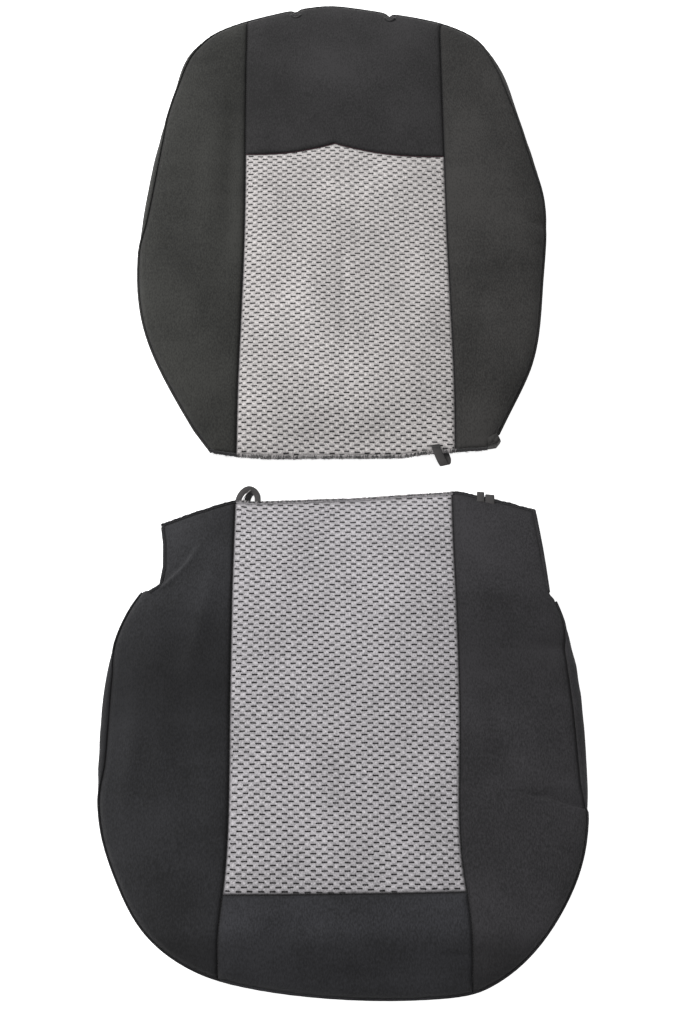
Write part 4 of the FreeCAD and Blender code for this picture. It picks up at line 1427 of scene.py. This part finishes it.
# The base cover's elastic hem.
across = -outwards(BASE_EDGE)
along = distance_along(BASE_EDGE)
gather = np.sin(along * 620) * (0.6 + 0.4 * np.sin(along * 37))
hem_path = np.column_stack([BASE_EDGE + across * 7.3 * MM, np.full(len(BASE_EDGE), 2.1 * MM)])
tangent, level = directions(hem_path)
oval = np.array([(math.cos(a), math.sin(a)) for a in np.linspace(0, math.tau, 14, endpoint=False)])
sections = [oval * [6.6 * MM + 0.5 * MM * g, 1.7 * MM + 0.25 * MM * g] for g in gather]
hem = sweep(hem_path, list(zip(level, np.cross(tangent, level))), sections)
finish_piece(new_piece("base_hem", *hem, [HEM_TAPE]), "hem_tape", ["base_hem_channel"], "base_skirt")
row = stitches(hem_path + np.column_stack([across * 5.2 * MM, np.full(len(hem_path), 1.1 * MM)]),
               3.2 * MM, 2.6 * MM, 0.28 * MM)
finish_piece(new_piece("base_hem_stitches", *row, [BLACK_THREAD]), "black_thread", [], "base_skirt")
ends = hem_path.copy()
ends[0] += (ends[0] - ends[1]) / np.linalg.norm(ends[0] - ends[1]) * 3 * MM
ends[-1] += (ends[-1] - ends[-2]) / np.linalg.norm(ends[-1] - ends[-2]) * 3 * MM
elastic = new_piece("base_hem_elastic_band", *tape(ends, 7 * MM, 1.2 * MM), [HEM_ELASTIC])
finish_piece(elastic, "hem_elastic", ["base_hem_elastic"], "base_skirt")

# ------------------------------------------------------------------ bound openings for the headrest posts

for side, (x, y) in zip(("left", "right"), POST_PLACES):
    path = []
    for a in np.linspace(0, math.tau, 44, endpoint=False):
        rise, dip = max(math.sin(a), 0), min(math.sin(a), 0)
        path.append((x + 9.2 * MM * math.cos(a), y - 3 * MM - 14.5 * MM * rise,
                     15 * MM + min(15.3 * MM, 24 * MM * rise) + 8.4 * MM * dip))
    path = np.array(path)
    tangent = np.roll(path, -1, axis=0) - np.roll(path, 1, axis=0)
    tangent /= np.linalg.norm(tangent, axis=1)[:, None]
    outer = path - path.mean(0)
    outer -= (outer * tangent).sum(1)[:, None] * tangent
    outer /= np.linalg.norm(outer, axis=1)[:, None]
    deep = np.cross(tangent, outer)
    turns = np.linspace(0, math.tau, 8, endpoint=False)
    ring_verts, ring_faces = [], []
    for i, (place, o, d) in enumerate(zip(path, outer, deep)):
        thick = 1.3 * MM + 0.18 * MM * math.sin(i * 2.1)
        ring_verts += [place + o * math.cos(t) * thick + d * math.sin(t) * thick * 1.5 for t in turns]
        for j in range(8):
            k, n = (j + 1) % 8, (i + 1) % len(path)
            ring_faces.append((i * 8 + j, n * 8 + j, n * 8 + k, i * 8 + k))
    rim = new_piece("headrest_eyelet_binding_" + side, ring_verts, ring_faces, [BINDING])
    finish_piece(rim, "eyelet_binding", ["headrest_eyelet_" + side], "headrest_opening")

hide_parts("headrest_band")

# ------------------------------------------------------------------ folded corner beside the open end

CORNER_LOW = 3.6 * MM
corner_points = np.array([(197.2, 12.5), (202.0, 1.5), (197.0, -4.5), (184.0, -6.5), (182.5, 4.0)]) * MM
corner_ring = resample(closed(corner_points), 2 * MM)[:-1]
corner_middle = corner_ring.mean(0)
closed_ring = closed(corner_ring)
inner_ring = corner_middle + (closed_ring - corner_middle) * 0.72


def corner_wall(top, low, levels):
    rows = []
    for s in levels:
        bulge = 1 - (1 - min(s / 0.4, 1.0)) ** 2
        rows.append(np.column_stack([inner_ring + (closed_ring - inner_ring) * bulge,
                                     np.full(len(closed_ring), top + (low - top) * s)]))
    return np.array(rows)


corner_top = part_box("backrest_right_corner")[1].z - 0.5 * MM
corner_levels = levels_for(corner_top, CORNER_LOW, (REAR_BEND, FRONT_BEND), 7)
for suffix, above, bend in (("_rear", False, REAR_BEND), ("_front", True, FRONT_BEND)):
    levels = cut_levels(corner_levels, corner_top, CORNER_LOW, HALF_WAY, above)
    grid = corner_wall(corner_top, CORNER_LOW, levels)
    piece = new_piece("backrest_corner" + suffix, *slab(grid, 1.2 * MM), [BACK_RIGHT_CLOTH])
    finish_piece(piece, "gusset_cloth", ["backrest_right_corner"], bend=bend)


def corner_height(x, y):
    away = np.hypot(x - corner_middle[0], y - corner_middle[1])
    return corner_top + 1.6 * MM - 0.09 * away - 1.6 * MM * np.exp(-((x - y * 0.6 - 0.1925) / (1.6 * MM)) ** 2)


patch = panel("backrest_corner_fold", corner_middle + (corner_ring - corner_middle) * 0.86, corner_height,
              [BACK_RIGHT_CLOTH, FACE_LINING], 1.6 * MM)
finish_piece(patch, "gusset_cloth", [], "backrest_front")

# ------------------------------------------------------------------ elastic loops

def strap(path, width, thickness, sides=None):
    """Webbing along a smooth path; sides gives its level direction at each place."""
    fine = np.linspace(0, 1, 6 * (len(path) - 1) + 1)
    smooth_path = np.stack([spline_through(path[:, k], fine) for k in range(3)], 1)
    if sides is None:
        return tape(smooth_path, width, thickness)
    smooth_sides = np.stack([spline_through(sides[:, k], fine) for k in range(3)], 1)
    smooth_sides /= np.linalg.norm(smooth_sides, axis=1)[:, None]
    return tape(smooth_path, width, thickness, smooth_sides)


def spline_through(values, fine):
    """A smooth curve through evenly spaced values."""
    padded = np.r_[2 * values[0] - values[1], values, 2 * values[-1] - values[-2]]
    place = fine * (len(values) - 1)
    i = np.minimum(place.astype(int), len(values) - 2)
    t = place - i
    a, b, c, d = padded[i], padded[i + 1], padded[i + 2], padded[i + 3]
    return b + 0.5 * t * (c - a + t * (2 * a - 5 * b + 4 * c - d + t * (3 * (b - c) + d - a)))


# a pale thread material used as a painted highlight on the loop's edge
EDGE_HIGHLIGHT = thread("webbing_edge_highlight", 150, 148, 147)
# a darker copy of the webbing: painted shade for the loop's far side
SHADED_FAR_WEBBING = webbing("shaded_far_side_webbing", 26, 25, 26)
loop_path = np.array([
    (117.6, -5.8, 22.4), (118.8, -10.5, 21.8), (121.0, -16.5, 20.6), (123.6, -22.5, 19.4),
    (126.6, -28.6, 18.2), (129.2, -31.6, 16.6), (131.8, -28.8, 14.9), (132.4, -23.0, 14.2),
    (131.0, -17.5, 13.8), (129.5, -12.0, 13.6),
]) * MM
loop_side = np.array([(1, 0.12, 0.05)] * 3 + [(1, 0.25, 0.0)] * 3 + [(1, 0.1, -0.1)] * 4, float)
loop_band = strap(loop_path, 11.0 * MM, 1.3 * MM, loop_side)
backrest_loop = new_piece("backrest_loop_webbing", *loop_band, [WEBBING])
finish_piece(backrest_loop, "elastic_webbing", ["backrest_elastic_loop"],
             bend=("backrest_front", "backrest_loop_body", (0, -16.5 * MM, 0), (0, -20.5 * MM, 0)))
for k, y in enumerate((-7.2, -9.8)):
    bar = np.array([(113.4, y, 23.3), (118.0, y - 0.4, 23.4), (122.6, y - 0.3, 23.2)]) * MM
    finish_piece(new_piece(f"backrest_loop_stitches_{k + 1}", *stitches(bar, 1.6 * MM, 1.3 * MM, 0.24 * MM),
                           [BLACK_THREAD]), "black_thread", [], "backrest_front")

LEFT_LOOP_BEND = ("base_flap", "base_left_loop_body", (0, -77 * MM, 0), (0, -72 * MM, 0))
arch = np.array([
    (-132.4, -78.0, 4.6), (-129.4, -69.0, 5.6), (-124.2, -62.6, 6.4), (-117.8, -60.2, 6.8),
    (-111.4, -62.8, 6.6), (-107.4, -69.0, 6.0), (-106.8, -78.0, 5.2),
]) * MM
arch_sides = np.array([(-1, 0.3, -0.3), (-0.9, 0.6, -0.2), (-0.5, 1, 0), (0.1, 1, 0.2), (0.8, 0.7, 0.4),
                       (1, 0.2, 0.4), (1, 0, 0.3)])
left_loop = new_piece("base_left_loop_webbing", *strap(arch, 8.2 * MM, 1.3 * MM, arch_sides), [WEBBING])
finish_piece(left_loop, "elastic_webbing", ["base_left_loop"], bend=LEFT_LOOP_BEND)
# The left loop's far side, seen through the arch, in the darker webbing: painted shade.
far_side = np.array([
    (-120.4, -77.5, 3.4), (-119.4, -71.5, 3.6), (-116.8, -66.4, 4.4), (-113.6, -64.0, 5.0),
]) * MM
finish_piece(new_piece("base_left_loop_far_side_shade", *strap(far_side, 8.0 * MM, 1.0 * MM), [SHADED_FAR_WEBBING]),
             "elastic_webbing", [], bend=LEFT_LOOP_BEND)
# A thin pale strip along the left loop's upper edge: a painted highlight.
edge_line = np.array([
    (-125.6, -75.4, 6.8), (-122.6, -69.2, 7.6), (-119.0, -64.6, 8.2), (-116.0, -61.8, 8.3),
]) * MM
finish_piece(new_piece("base_left_loop_edge_highlight", *strap(edge_line, 0.9 * MM, 0.6 * MM), [EDGE_HIGHLIGHT]),
             "elastic_webbing", [], bend=LEFT_LOOP_BEND)

# The two short tabs at the right: each is a piece of webbing folded double.
for name, x, rear, front, width in (
    ("base_right_inner_loop", 174.4, -63.6, -77.0, 9.2), ("base_right_outer_loop", 186.0, -67.2, -80.0, 11.4),
):
    middle = (rear + front) / 2
    fold_path = np.array([
        (x, front, 7.4), (x + 0.2, middle, 7.2), (x + 0.5, rear - 1.4, 6.4), (x + 0.6, rear, 4.9),
        (x + 0.5, rear - 1.4, 3.4), (x + 0.2, middle, 2.8), (x, front, 2.8),
    ]) * MM
    sides = np.array([(1, -0.1, 0.06)] * 3 + [(1, -0.1, 0.0)] + [(1, -0.1, -0.06)] * 3)
    tab = new_piece(name + "_webbing", *strap(fold_path, width * MM, 1.1 * MM, sides), [WEBBING])
    finish_piece(tab, "elastic_webbing", [name],
                 bend=("base_flap", name + "_body", (0, -77 * MM, 0), (0, -72 * MM, 0)))


# ------------------------------------------------------------------ camera, light and floor

AIM = Vector((-0.0017, -0.094, 0.02))
camera_data = bpy.data.cameras.new("camera")
camera_data.lens = 38.6
camera_data.sensor_fit = "VERTICAL"
camera_data.sensor_height = 36
camera = bpy.data.objects.new("camera", camera_data)
bpy.context.scene.collection.objects.link(camera)
camera.location = (-0.0017, -0.4708, 1.334)
camera.rotation_euler = (AIM - camera.location).to_track_quat("-Z", "Y").to_euler()
bpy.context.scene.camera = camera


def soft_light(name, place, size, power):
    data = bpy.data.lights.new(name, "AREA")
    data.size = size
    data.energy = power
    lamp = bpy.data.objects.new(name, data)
    bpy.context.scene.collection.objects.link(lamp)
    lamp.location = place
    lamp.rotation_euler = (Vector((0, 0, 0)) - lamp.location).to_track_quat("-Z", "Y").to_euler()
    return lamp


soft_light("key_light", Vector((-2.4, 1.5, 2.4)), 1.7, 150)
soft_light("fill_light", Vector((1.6, -1.4, 2.4)), 2.2, 14)

floor_data = bpy.data.meshes.new("floor")
floor_data.from_pydata([(-6, -6, 0), (6, -6, 0), (6, 6, 0), (-6, 6, 0)], [], [(0, 1, 2, 3)])
floor = bpy.data.objects.new("floor", floor_data)
bpy.context.scene.collection.objects.link(floor)
floor.location = (0, 0, -0.4 * MM)
floor_paint = Shader("floor_paint", 0.9)
floor_paint.surface.inputs["Emission Color"].default_value = (1, 1, 1, 1)
floor_paint.surface.inputs["Emission Strength"].default_value = 0.8      # a light table
floor_data.materials.append(floor_paint.finish((1.0, 1.0, 1.0, 1)))

world = bpy.data.worlds.new("studio")
world.use_nodes = True
world.node_tree.nodes["Background"].inputs["Color"].default_value = (1, 1, 1, 1)
looking = world.node_tree.nodes.new("ShaderNodeLightPath")
strength = world.node_tree.nodes.new("ShaderNodeMath")
strength.operation = "MULTIPLY_ADD"
strength.inputs[1].default_value = 0.74     # the backdrop itself looks white
strength.inputs[2].default_value = 0.28
world.node_tree.links.new(looking.outputs["Is Camera Ray"], strength.inputs[0])
world.node_tree.links.new(strength.outputs[0], world.node_tree.nodes["Background"].inputs["Strength"])
bpy.context.scene.world = world
bpy.context.scene.view_settings.view_transform = "Standard"
